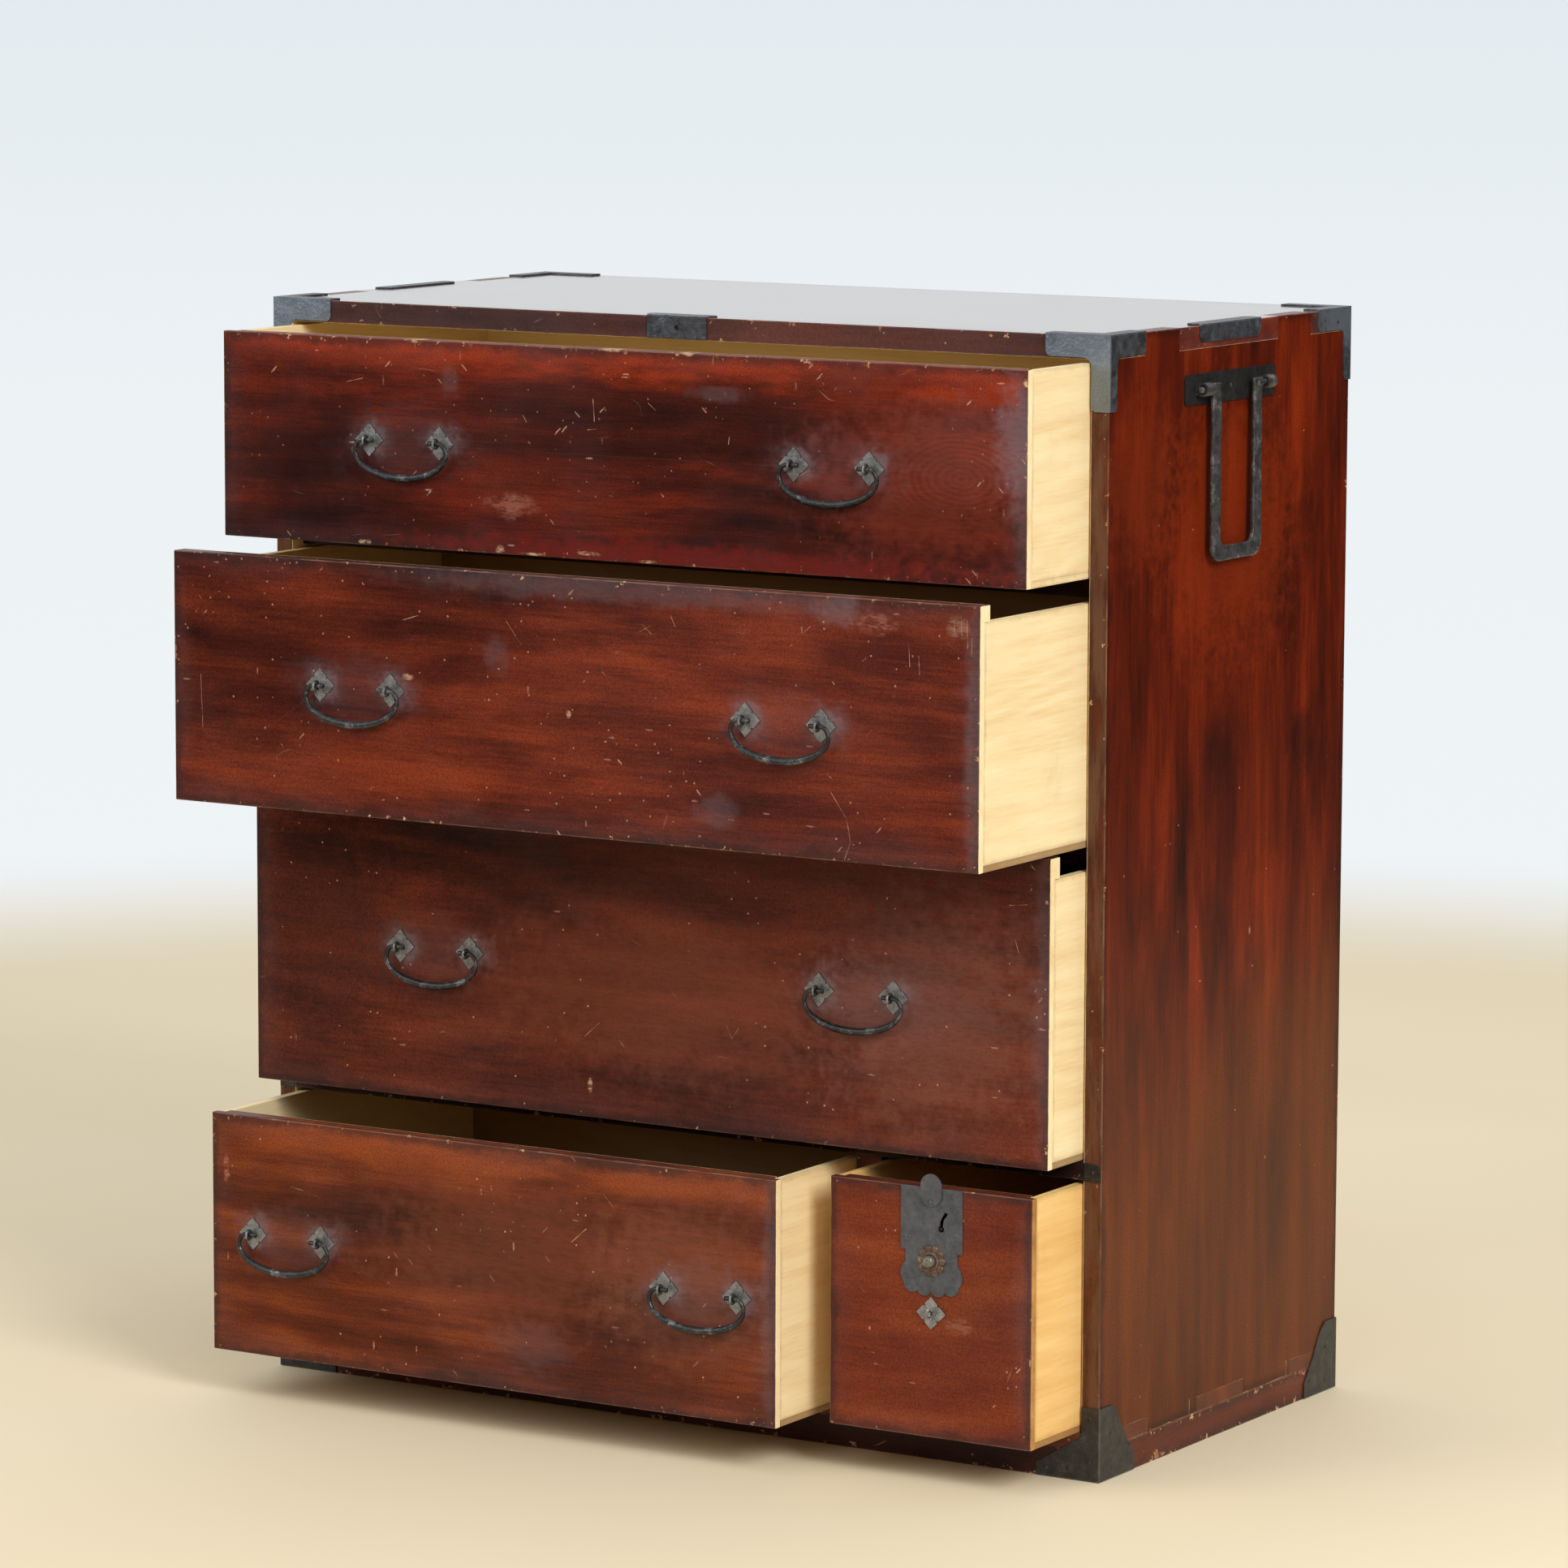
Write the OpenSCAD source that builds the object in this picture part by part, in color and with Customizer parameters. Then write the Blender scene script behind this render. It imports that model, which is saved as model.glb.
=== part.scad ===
// Small tansu chest: a box-jointed case on a low base frame, five drawers and forged iron fittings.
// Millimetres. Origin on the floor under the middle of the case, X to the right, Y to the back, Z up.

/* [Case] */
// Width of the case over its side boards
case_w = 900; // [820:5:980]
// Depth of the case from its front edges to its back
case_d = 462; // [456:2:520]
// Thickness of the two side boards
side_t = 18; // [15:1:24]
// Thickness of the top board
top_t = 21; // [18:1:28]
// Thickness of the bottom board
bottom_t = 15; // [12:1:20]
// Thickness of the back boards
back_t = 9; // [6:1:11]
// Number of upright boards in the back
back_count = 4; // [3:1:6]
// Height of the base frame's rails
base_h = 29; // [22:1:45]
// Thickness of the base frame's rails
base_t = 24; // [18:1:32]

/* [Corner joints of the case] */
// Length of the top board's finger at the front
top_finger_front = 65; // [50:1:90]
// Length of the top board's finger at the back
top_finger_back = 78; // [50:1:90]
// Length of each side board's finger at the top
side_finger = 64; // [40:1:80]
// Number of equal fingers along each bottom corner
bottom_fingers = 5; // [3:2:9]

/* [Shelves] */
// Height of the top drawer's opening
opening_1_h = 194.5; // [150:0.5:240]
// Height of the second drawer's opening
opening_2_h = 222; // [160:0.5:260]
// Height of the third drawer's opening
opening_3_h = 264; // [180:0.5:300]
// Height of the opening for the two bottom drawers
opening_4_h = 230.5; // [200:0.5:260]
// Thickness of the rails between the drawers
rail_t = 18; // [15:1:24]
// Depth of the rails from front to back
rail_d = 30; // [24:1:40]
// Length of the rails' tenons
tenon_l = 8; // [5:1:12]
// Thickness of the dust boards behind the rails
dust_t = 8; // [6:1:11]
// Depth of the grooves that hold the dust boards and the back
housing = 6; // [4:1:9]
// Width of the post between the two bottom drawers
post_w = 26; // [22:1:34]
// Distance of the post right of the middle
post_x = 208; // [150:1:230]
// Thickness of the board behind the post
partition_t = 12; // [8:1:16]
// Height of the drawer guides beside the partition
guide_h = 14; // [8:1:24]

/* [Drawers] */
// How far a closed drawer ends before the back of the case
drawer_short = 30; // [24:1:80]
// Thickness of the drawer fronts
front_t = 17; // [14:0.5:22]
// Thickness of a front's lip ahead of the drawer sides
front_lip = 8; // [5:0.5:10]
// Thickness of the drawer sides
drawer_side_t = 9; // [7:0.5:12]
// Thickness of the drawer backs
drawer_back_t = 9; // [7:0.5:12]
// Thickness of the drawer bottoms
drawer_bottom_t = 6; // [4:0.5:9]
// Fingers along each back corner of a drawer
drawer_fingers = 5; // [3:2:7]
// How far a drawer's back is lower than its sides
drawer_back_drop = 4; // [2:1:10]
// How far the second drawer's front rises over its rail
drawer_2_lift = 11.5; // [8:0.5:14]
// How far the third drawer's front rises over its rail
drawer_3_lift = 16; // [8:0.5:16]

/* [Drawer clearances] */
// Gap under a drawer
run_gap = 0.5; // [0.3:0.1:0.9]
// Gap at each end of a front
end_gap = 1.2; // [0.8:0.1:2]
// Gap over a front that closes under a rail
head_gap = 2.5; // [1:0.5:4]
// Gap over the drawer sides
side_head_gap = 3.5; // [3:0.5:6]
// How far the drawer sides stand in from the ends of the front
side_inset = 0.8; // [0.4:0.1:2]
// Gap between a closed drawer and its stop
stop_gap = 0.5; // [0.3:0.1:1]

/* [How far the drawers stand open] */
// Top drawer
drawer_1_out = 110; // [0:1:300]
// Second drawer
drawer_2_out = 190; // [0:1:300]
// Third drawer
drawer_3_out = 63; // [0:1:300]
// Bottom drawer on the left
drawer_4_out = 137; // [0:1:300]
// Bottom drawer on the right
drawer_5_out = 90; // [0:1:300]

/* [Drawer pulls] */
// Distance between the two pulls of a drawer
pull_pitch = 458; // [380:1:480]
// How far the pulls stand right of the drawer's middle
pull_shift = 3; // [0:0.5:6]
// How far the pulls hang above the middle of the front
pull_rise = 2; // [0:0.5:8]
// Distance between the two eyes of a pull
eye_pitch = 78; // [72:1:84]
// Distance of a pull's pins ahead of the front
eye_stand = 7.5; // [7:0.5:9]
// Half the diagonal of a pull's lozenge plate
rose_half = 15.5; // [12:0.5:18]
// Thickness of the pull plates and of the lock plate
plate_t = 1.2; // [0.8:0.1:2]
// Radius of a pull's pins
pin_r = 2.2; // [1.8:0.1:2.6]
// Clearance round the pins in their eyes
pin_gap = 0.5; // [0.3:0.1:0.7]
// Radius of the wire of the eyes
eye_wire_r = 1.3; // [1:0.1:1.6]
// Half the width of a bail along its middle line
bail_half_w = 50.5; // [48:0.5:54]
// Drop of a bail below its pins along its middle line
bail_drop = 33.5; // [28:0.5:40]
// Radius of a bail at its thick middle
bail_mid_r = 3.7; // [2.8:0.1:4.2]

/* [Carrying handles] */
// Width over the two legs of a handle
handle_w = 96; // [86:1:104]
// Length of a handle below its pins
handle_l = 158; // [120:1:180]
// Width of the flat bar of a handle
handle_bar_w = 17; // [12:1:20]
// Thickness of the flat bar of a handle
handle_bar_t = 4.5; // [3:0.5:6]
// Radius of a handle's pins
handle_pin_r = 3.4; // [2.5:0.1:4]
// Distance between the two eyes of a handle
handle_eye_pitch = 119; // [118:1:130]
// Radius of a handle's eyes
handle_eye_r = 6.3; // [5.8:0.1:7]
// Width of a handle's eyes along the pin
handle_eye_w = 15; // [10:1:16]
// Depth of a handle's pins below the top of the case
handle_below = 57; // [50:1:80]
// How far the handles stand ahead of the middle of the side
handle_ahead = 6.5; // [0:0.5:12]
// Length of a handle's back plate
handle_plate_l = 173; // [150:1:190]
// Height of a handle's back plate
handle_plate_h = 28; // [20:1:34]
// Thickness of a handle's back plate
handle_plate_t = 1.8; // [1:0.2:3]

/* [Irons of the case] */
// Thickness of the irons
iron_t = 1.5; // [1:0.1:2.5]
// Length of a corner iron's arms
arm_l = 64; // [50:1:80]
// Length of a top corner iron's arm down the case
arm_drop = 67; // [50:1:90]
// Height of a top corner iron's level arms
arm_h = 19.5; // [14:0.5:20.5]
// Width of the strips on the top face
top_strip_w = 15; // [10:1:20]
// Width of the strip down the side
side_strip_w = 12; // [8:1:18]
// Height of a bottom corner iron
foot_h = 68; // [55:1:90]
// Length of the strap over each side edge
strap_l = 117; // [90:1:140]
// Height of the strap over each side edge
strap_h = 15.5; // [10:0.5:20]
// Width of the strap over the front edge
front_strap_w = 64; // [50:1:80]

/* [Lock of the small drawer] */
// Width of the lock plate
lock_w = 63.5; // [56:0.5:70]
// Height of the lock plate
lock_h = 98.5; // [94:0.5:110]
// How far the lock stands right of the small drawer's middle
lock_shift = 1.5; // [0:0.5:4]
// Width of the swinging key cover
cover_w = 21.5; // [18:0.5:24]
// Length of the swinging key cover
cover_l = 29.5; // [26:0.5:34]
// Thickness of the key cover
cover_t = 1.3; // [0.8:0.1:2]
// Radius of the key cover's rivet
rivet_r = 2.4; // [1.8:0.1:3]
// Radius of the flower rosette over its petals
rosette_r = 15; // [12:0.5:17]
// Number of petals on the rosette
petals = 10; // [6:1:14]
// Radius of the worn stub in the rosette
stub_r = 5.4; // [4:0.2:6]
// Length of the worn stub ahead of the rosette
stub_l = 7; // [4:0.5:10]
// Height of the lock's case inside the drawer
lock_case_h = 42; // [36:1:50]
// Thickness of the lock's case
lock_case_t = 14; // [10:1:18]
// Width of the lock's bolt
bolt_w = 22; // [14:1:28]
// Thickness of the lock's bolt
bolt_t = 4; // [3:0.5:6]
// Lift of the lock's bolt
bolt_lift = 8; // [5:1:10]

/* [Hidden] */
$fn = 48;
nip = 1;                       // how far a cutting solid runs past the face it opens
slide_gap = 0.3;               // running clearance of the bolt and of the swinging key cover
seam = 0.3;                    // gap in the joints between loose boards

lacquer = "#5b2216";
lacquer_dark = "#46190f";
plain_wood = "#e6cf8f";
iron = "#3c3d40";
rusty_iron = "#76604c";

// Levels of the case
z_low = base_h + bottom_t;                  // on the bottom board
z_rail_low = z_low + opening_4_h;           // under the lower rail
z_3 = z_rail_low + rail_t;                  // on the lower rail
z_rail_mid = z_3 + opening_3_h;
z_2 = z_rail_mid + rail_t;
z_rail_up = z_2 + opening_2_h;
z_1 = z_rail_up + rail_t;
z_top = z_1 + opening_1_h;                  // under the top board
case_h = z_top + top_t;

// Planes of the case
inner_x = case_w / 2 - side_t;              // inner face of a side board
front_y = -case_d / 2;
back_y = case_d / 2;
drawer_d = case_d - drawer_short;           // from a front's face to the drawer's back
panel_y = back_y - back_t;                  // front face of the back boards
rail_back_y = front_y + front_t + stop_gap; // front face of the two rails that the fronts cover
tongue = housing + 2;                       // how far the dust boards lie on the rails

// Drawers: [left x, right x, shelf level, opening height, lift of the front, how far it is out]
drawers = [
  [-inner_x, inner_x, z_1, opening_1_h, 0, drawer_1_out],
  [-inner_x, inner_x, z_2, opening_2_h, drawer_2_lift, drawer_2_out],
  [-inner_x, inner_x, z_3, opening_3_h, drawer_3_lift, drawer_3_out],
  [-inner_x, post_x - post_w / 2, z_low, opening_4_h, 0, drawer_4_out],
  [post_x + post_w / 2, inner_x, z_low, opening_4_h, 0, drawer_5_out]
];
function front_w(n) = drawers[n - 1][1] - drawers[n - 1][0] - 2 * end_gap;
function front_x(n) = (drawers[n - 1][1] + drawers[n - 1][0]) / 2;
function front_z(n) = drawers[n - 1][2] + run_gap;
function lift(n) = drawers[n - 1][4];
function front_h(n) = drawers[n - 1][3] - run_gap + (lift(n) > 0 ? lift(n) : -head_gap);
function side_h(n) = drawers[n - 1][3] - run_gap - side_head_gap;   // level of the side boards' top
function side_x(n) = front_w(n) / 2 - side_inset;                   // outer face of a drawer side
function pull_z(n) = front_h(n) / 2 + pull_rise;
function pull_x(n, side) = pull_shift + side * pull_pitch / 2;

// ---------------------------------------------------------------- helpers

// A block given by its two corners
module block(low, high) {
  translate(low) cube(high - low);
}

// A shape and its mirror image on the other side of the chest
module pair_x() {
  children();
  mirror([1, 0, 0]) children();
}

// A flat outline drawn in X and Z, given a thickness towards the front
module face_plate(thick) {
  rotate([90, 0, 0]) linear_extrude(height = thick) children();
}

// A flat outline drawn in Y and Z, given a thickness to the right
module side_plate(thick) {
  rotate([90, 0, 90]) linear_extrude(height = thick) children();
}

// A rectangle with four round corners, made of true arcs
module round_rect(w, h, r) {
  square([w - 2 * r, h], center = true);
  square([w, h - 2 * r], center = true);
  for (x = [-1, 1], y = [-1, 1]) translate([x * (w / 2 - r), y * (h / 2 - r)]) circle(r = r);
}

// Moves to a drawer: X at the middle of its front, Y at its front face, Z at its lower edge
module at_drawer(n) {
  translate([front_x(n), front_y - drawers[n - 1][5], front_z(n)]) children();
}

// ---------------------------------------------------------------- case joints

// Places of the side boards' fingers along the depth, at the top and at the bottom
top_slots = [
  [front_y + top_finger_front, front_y + top_finger_front + side_finger],
  [back_y - top_finger_back - side_finger, back_y - top_finger_back]
];
finger_pitch = case_d / bottom_fingers;
bottom_slots = [
  for (k = [1 : 2 : bottom_fingers - 2]) [front_y + k * finger_pitch, front_y + (k + 1) * finger_pitch]
];

// A board across the whole case, cut back where the side boards' fingers come through
module fingered_board(low_z, high_z, slots) {
  difference() {
    block([-case_w / 2, front_y, low_z], [case_w / 2, back_y, high_z]);
    pair_x() for (s = slots) {
      block([inner_x, s[0], low_z - nip], [case_w / 2 + nip, s[1], high_z + nip]);
    }
  }
}

// A rail's tenons, or the mortises that take them
module rail_tenons(y, low_z) {
  pair_x() block([inner_x - nip, y + tenon_l / 2, low_z + rail_t / 6],
                 [inner_x + tenon_l, y + rail_d - tongue, low_z + rail_t * 5 / 6]);
}

module side_board() {
  difference() {
    union() {
      block([inner_x, front_y, z_low], [case_w / 2, back_y, z_top]);
      for (s = top_slots) block([inner_x, s[0], z_top - nip], [case_w / 2, s[1], case_h]);
      for (s = bottom_slots) block([inner_x, s[0], base_h], [case_w / 2, s[1], z_low + nip]);
    }
    // rabbet for the back boards
    block([inner_x - nip, panel_y, z_low], [inner_x + housing, back_y + nip, z_top]);
    // grooves for the dust boards
    for (s = shelves) block([inner_x - nip, s[1] + rail_d - tongue, s[0] + rail_t - dust_t],
                            [inner_x + housing, panel_y, s[0] + rail_t]);
    for (s = shelves) rail_tenons(s[1], s[0]);
    handle_shank_holes();
  }
}

// Blind holes in the right side board for the shanks of its handle's eyes
module handle_shank_holes() {
  depth = handle_shank_l + 1;
  for (side = [-1, 1]) {
    translate([case_w / 2 - depth, side * handle_eye_pitch / 2 - handle_ahead, handle_z]) rotate([0, 90, 0])
      cylinder(r = handle_shank_r + shank_gap, h = depth + nip);
  }
}

// Shelves: [level under the rail, front face of the rail]
shelves = [[z_rail_low, front_y], [z_rail_mid, rail_back_y], [z_rail_up, rail_back_y]];

module top_board() {
  color(lacquer) fingered_board(z_top, case_h, top_slots);
}

module bottom_board() {
  color(lacquer_dark) difference() {
    fingered_board(base_h, z_low, bottom_slots);
    post_tenons(z_low);
  }
}

module side_right() {
  color(lacquer) side_board();
}

module side_left() {
  color(lacquer) mirror([1, 0, 0]) side_board();
}

// Upright back boards, each lapped over half the thickness of the next one
module back_boards() {
  reach = inner_x + housing;
  w = 2 * reach / back_count;
  lap = housing;
  mid_y = panel_y + back_t / 2;
  color(plain_wood) for (k = [0 : back_count - 1]) {
    x = -reach + k * w;
    last = k == back_count - 1;
    difference() {
      block([x, panel_y, z_low], [x + w + (last ? 0 : lap), back_y, z_top]);
      if (k > 0) block([x - nip, panel_y - nip, z_low - nip], [x + lap + seam, mid_y, z_top + nip]);
      if (!last) block([x + w - seam, mid_y - seam, z_low - nip],
                       [x + w + lap + nip, back_y + nip, z_top + nip]);
    }
  }
}

// Front and back rails of the base, with half laps at their ends
module base_long_rails() {
  color(lacquer_dark) for (side = [-1, 1]) difference() {
    y = side * (case_d / 2 - base_t / 2);
    block([-case_w / 2, y - base_t / 2, 0], [case_w / 2, y + base_t / 2, base_h]);
    pair_x() block([case_w / 2 - base_t, y - base_t / 2 - nip, base_h / 2],
                   [case_w / 2 + nip, y + base_t / 2 + nip, base_h + nip]);
  }
}

// End rails of the base, lapped over the long ones, and a bearer under the middle
module base_cross_rails() {
  bearer_w = 1.6 * base_t;
  color(lacquer_dark) {
    pair_x() {
      block([case_w / 2 - base_t, front_y, base_h / 2], [case_w / 2, back_y, base_h]);
      block([case_w / 2 - base_t, front_y + base_t, 0], [case_w / 2, back_y - base_t, base_h]);
    }
    block([-bearer_w / 2, front_y + base_t, 0], [bearer_w / 2, back_y - base_t, base_h]);
  }
}

// ---------------------------------------------------------------- shelves

// A rail with tenons, rabbeted behind for its dust board
module rail(s) {
  difference() {
    union() {
      block([-inner_x, s[1], s[0]], [inner_x, s[1] + rail_d, s[0] + rail_t]);
      rail_tenons(s[1], s[0]);
    }
    block([-inner_x - nip, s[1] + rail_d - tongue, s[0] + rail_t - dust_t],
          [inner_x + nip, s[1] + rail_d + nip, s[0] + rail_t + nip]);
  }
}

// The lower rail is flush with the case; the two upper ones stand back behind the drawer fronts
module shelf_rails() {
  mortise_h = bolt_lift - bolt_head - head_gap + bolt_spare;
  color(lacquer_dark) {
    for (k = [1, 2]) rail(shelves[k]);
    difference() {
      rail(shelves[0]);
      post_tenons(z_rail_low);
      // mortise that the lock's bolt rises into
      translate([lock_x, front_y + bolt_y, z_rail_low])
        cube([bolt_w + 2, bolt_t + 2, 2 * mortise_h], center = true);
    }
  }
}

module dust_boards() {
  reach = inner_x + housing;
  color(plain_wood) for (s = shelves) {
    block([-reach, s[1] + rail_d - tongue, s[0] + rail_t - dust_t], [reach, panel_y, s[0] + rail_t]);
  }
}

// Stub tenons of the post, centred on a level, or the mortises for them
module post_tenons(z) {
  translate([post_x, front_y + rail_d / 2, z]) cube([post_w / 2, rail_d / 2, 2 * housing], center = true);
}

// Post, board and drawer guides between the two bottom drawers
module partition() {
  post_back_y = front_y + rail_d;
  groove_y = post_back_y - housing;
  color(lacquer_dark) difference() {
    union() {
      block([post_x - post_w / 2, front_y, z_low], [post_x + post_w / 2, post_back_y, z_rail_low]);
      post_tenons(z_low);
      post_tenons(z_rail_low);
    }
    block([post_x - partition_t / 2 - seam, groove_y, z_low - nip],
          [post_x + partition_t / 2 + seam, post_back_y + nip, z_rail_low + nip]);
  }
  color(plain_wood) translate([post_x, 0, z_low]) {
    block([-partition_t / 2, groove_y + seam, 0], [partition_t / 2, post_back_y, opening_4_h]);
    block([-partition_t / 2, post_back_y, 0], [partition_t / 2, panel_y, opening_4_h + rail_t - dust_t]);
    for (side = [0, 1]) mirror([side, 0, 0])
      block([partition_t / 2 + seam, post_back_y + seam, 0], [post_w / 2, panel_y, guide_h]);
  }
}

// Blocks behind the drawers whose fronts close flush with the case
module drawer_stops() {
  block_w = 30;
  block_h = 12;
  y = front_y + drawer_d + stop_gap;
  color(plain_wood) for (n = [1, 4, 5], side = [-1, 1]) {
    translate([front_x(n) + side * front_w(n) / 3, 0, drawers[n - 1][2]])
      block([-block_w / 2, y, 0], [block_w / 2, panel_y, block_h]);
  }
}

// ---------------------------------------------------------------- drawers

// Slots for a drawer back's fingers, as [low, high] levels
function back_slots(n) = let (low = drawer_bottom_t, h = (side_h(n) - drawer_back_drop - low) / drawer_fingers)
  [for (k = [1 : 2 : drawer_fingers - 2]) [low + k * h, low + (k + 1) * h]];

module drawer_front(n) {
  w = front_w(n) / 2;
  rabbet_top = lift(n) > 0 ? side_h(n) : front_h(n) + nip;
  difference() {
    block([-w, 0, 0], [w, front_t, front_h(n)]);
    // rabbets that take the ends of the side boards
    pair_x() block([side_x(n) - drawer_side_t, front_lip, -nip], [w + nip, front_t + nip, rabbet_top]);
    // rabbet that takes the front edge of the bottom
    block([-w - nip, front_lip, -nip], [w + nip, front_t + nip, drawer_bottom_t]);
    if (n < 5) at_eyes(n) rotate([-90, 0, 0]) translate([0, 0, -nip])
      cylinder(r = shank_r + shank_gap, h = front_t + 2 * nip);
    if (n == 5) lock_holes();
  }
}

module drawer_sides(n) {
  pair_x() difference() {
    block([side_x(n) - drawer_side_t, front_lip, drawer_bottom_t], [side_x(n), drawer_d, side_h(n)]);
    for (s = back_slots(n)) {
      block([side_x(n) - drawer_side_t - nip, drawer_d - drawer_back_t, s[0]],
            [side_x(n) + nip, drawer_d + nip, s[1]]);
    }
  }
}

module drawer_back(n) {
  inner = side_x(n) - drawer_side_t;
  block([-inner, drawer_d - drawer_back_t, drawer_bottom_t], [inner, drawer_d, side_h(n) - drawer_back_drop]);
  for (s = back_slots(n)) block([-side_x(n), drawer_d - drawer_back_t, s[0]], [side_x(n), drawer_d, s[1]]);
}

module drawer_bottom(n) {
  block([-side_x(n), front_lip, 0], [side_x(n), drawer_d, drawer_bottom_t]);
}

module front_of(n) {
  color(lacquer) at_drawer(n) drawer_front(n);
}

module sides_of(n) {
  color(plain_wood) at_drawer(n) drawer_sides(n);
}

module back_of(n) {
  color(plain_wood) at_drawer(n) drawer_back(n);
}

module bottom_of(n) {
  color(plain_wood) at_drawer(n) drawer_bottom(n);
}

// ---------------------------------------------------------------- drawer pulls

shank_r = 1.5;                 // shank of an eye through the front
shank_gap = 0.2;               // clearance round the shanks
eye_hole_r = pin_r + pin_gap;
eye_ring_r = eye_hole_r + eye_wire_r;
pin_end = eye_pitch / 2 - 8;   // inner end of a pin
bend_w = 8;                    // the bend from a pin into the bow
bend_h = 10;

// Moves to each of the four eyes of a drawer's pulls, on the front face at the pins' level
module at_eyes(n) {
  for (side = [-1, 1], eye = [-1, 1]) {
    translate([pull_x(n, side) + eye * eye_pitch / 2, 0, pull_z(n)]) children();
  }
}

// Lozenge with a small nick in the middle of each edge
module lozenge(half) {
  nick = half / 12;
  edge = [[half, 0], [half * 0.58, half * 0.42],
          [half * 0.54 - nick, half * 0.46 - nick], [half * 0.44, half * 0.56]];
  polygon([for (turn = [0 : 90 : 270], p = edge)
    [p[0] * cos(turn) - p[1] * sin(turn), p[0] * sin(turn) + p[1] * cos(turn)]]);
}

// An eye: a ring round the pin, with a shank through the front whose two ends are spread behind it
module cotter_eye(arc) {
  translate([0, -eye_stand, 0]) rotate([0, 90, 0]) rotate([0, 0, 90 - arc / 2])
    rotate_extrude(angle = arc) translate([eye_ring_r, 0]) circle(r = eye_wire_r, $fn = 20);
  shank_start = -eye_stand + eye_ring_r;
  shank_l = front_t - shank_start + tail_r;
  translate([0, shank_start, 0]) rotate([-90, 0, 0]) cylinder(r = shank_r, h = shank_l);
  translate([-tail_l, front_t + tail_r + tail_lift, 0]) rotate([0, 90, 0]) cylinder(r = tail_r, h = 2 * tail_l);
}
tail_r = 1.1;                  // the spread ends of an eye's shank
tail_l = 9;
tail_lift = 0.2;

// Two pulls' plates and eyes
module pull_mounts(n) {
  color(iron) at_drawer(n) at_eyes(n) {
    difference() {
      face_plate(plate_t) lozenge(rose_half);
      rotate([90, 0, 0]) translate([0, 0, -nip]) cylinder(r = shank_r + shank_gap, h = plate_t + 2 * nip);
    }
    cotter_eye(360);
  }
}

// Middle line of a bail, from its right pin round to its left pin: [x, z, radius]
bend_steps = 5;
bow_steps = 22;
function bend_at(a) = [bail_half_w - bend_w * (1 - sin(a)), -bend_h * (1 - cos(a)), pin_r * 0.92];
function bow_at(a) = [bail_half_w * cos(a), -bend_h - (bail_drop - bend_h) * sin(a),
  pin_r * 0.92 + (bail_mid_r - pin_r * 0.92) * pow(sin(a), 1.4)];
bail_line = concat(
  [for (k = [0 : bend_steps - 1]) bend_at(90 * k / bend_steps)],
  [for (k = [0 : bow_steps]) bow_at(180 * k / bow_steps)],
  [for (k = [bend_steps - 1 : -1 : 0]) let (p = bend_at(90 * k / bend_steps)) [-p[0], p[1], p[2]]]
);

// A round bar of changing radius carried along a line in the XZ plane
module forged_bar(line, sides = 10) {
  count = len(line);
  function along(k) = (k == 0 || k == count - 1) ? [1, 0] :
    let (d = line[k + 1] - line[k - 1]) [d[0], d[1]] / norm([d[0], d[1]]);
  rings = [for (k = [0 : count - 1]) let (t = along(k), p = line[k])
    for (j = [0 : sides - 1]) let (a = 360 * j / sides)
      [p[0] - t[1] * p[2] * cos(a), p[2] * sin(a), p[1] + t[0] * p[2] * cos(a)]];
  sheet = [for (k = [0 : count - 2], j = [0 : sides - 1]) let (m = (j + 1) % sides)
    [k * sides + j, k * sides + m, (k + 1) * sides + m, (k + 1) * sides + j]];
  near_end = [[for (j = [0 : sides - 1]) sides - 1 - j]];
  far_end = [[for (j = [0 : sides - 1]) (count - 1) * sides + j]];
  polyhedron(points = rings, faces = concat(sheet, near_end, far_end), convexity = 6);
}

// A hanging pull: a tapered bow whose ends turn in as pins
module bail(n, side) {
  color(iron) at_drawer(n) translate([pull_x(n, side), -eye_stand, pull_z(n)]) {
    forged_bar(bail_line);
    pair_x() translate([pin_end, 0, 0]) rotate([0, 90, 0])
      cylinder(r = pin_r, h = bail_half_w - bend_w - pin_end + 0.6);
  }
}

// ---------------------------------------------------------------- carrying handles

handle_z = case_h - handle_below;
handle_stand = handle_plate_t + handle_eye_r + slide_gap;   // distance of the pins from the side
leg_y = (handle_w - handle_bar_w) / 2;                      // middle of a leg
handle_pin_l = handle_eye_pitch / 2 + handle_eye_w / 2 + 3; // outer end of a pin from the middle
leg_head = 5.5;                                             // how far a leg rises over its pin
handle_shank_r = 3;                                         // shanks of the eyes in the side board
handle_shank_l = side_t * 0.7;

// Moves to a handle: on the right side's face, at the middle between its eyes
module at_handle() {
  translate([case_w / 2, -handle_ahead, handle_z]) children();
}

module handle_plates() {
  color(iron) pair_x() at_handle() difference() {
    side_plate(handle_plate_t) round_rect(handle_plate_l, handle_plate_h, 5);
    for (side = [-1, 1]) translate([-nip, side * handle_eye_pitch / 2, 0]) rotate([0, 90, 0])
      cylinder(r = handle_shank_r + shank_gap, h = handle_plate_t + 2 * nip);
  }
}

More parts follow.
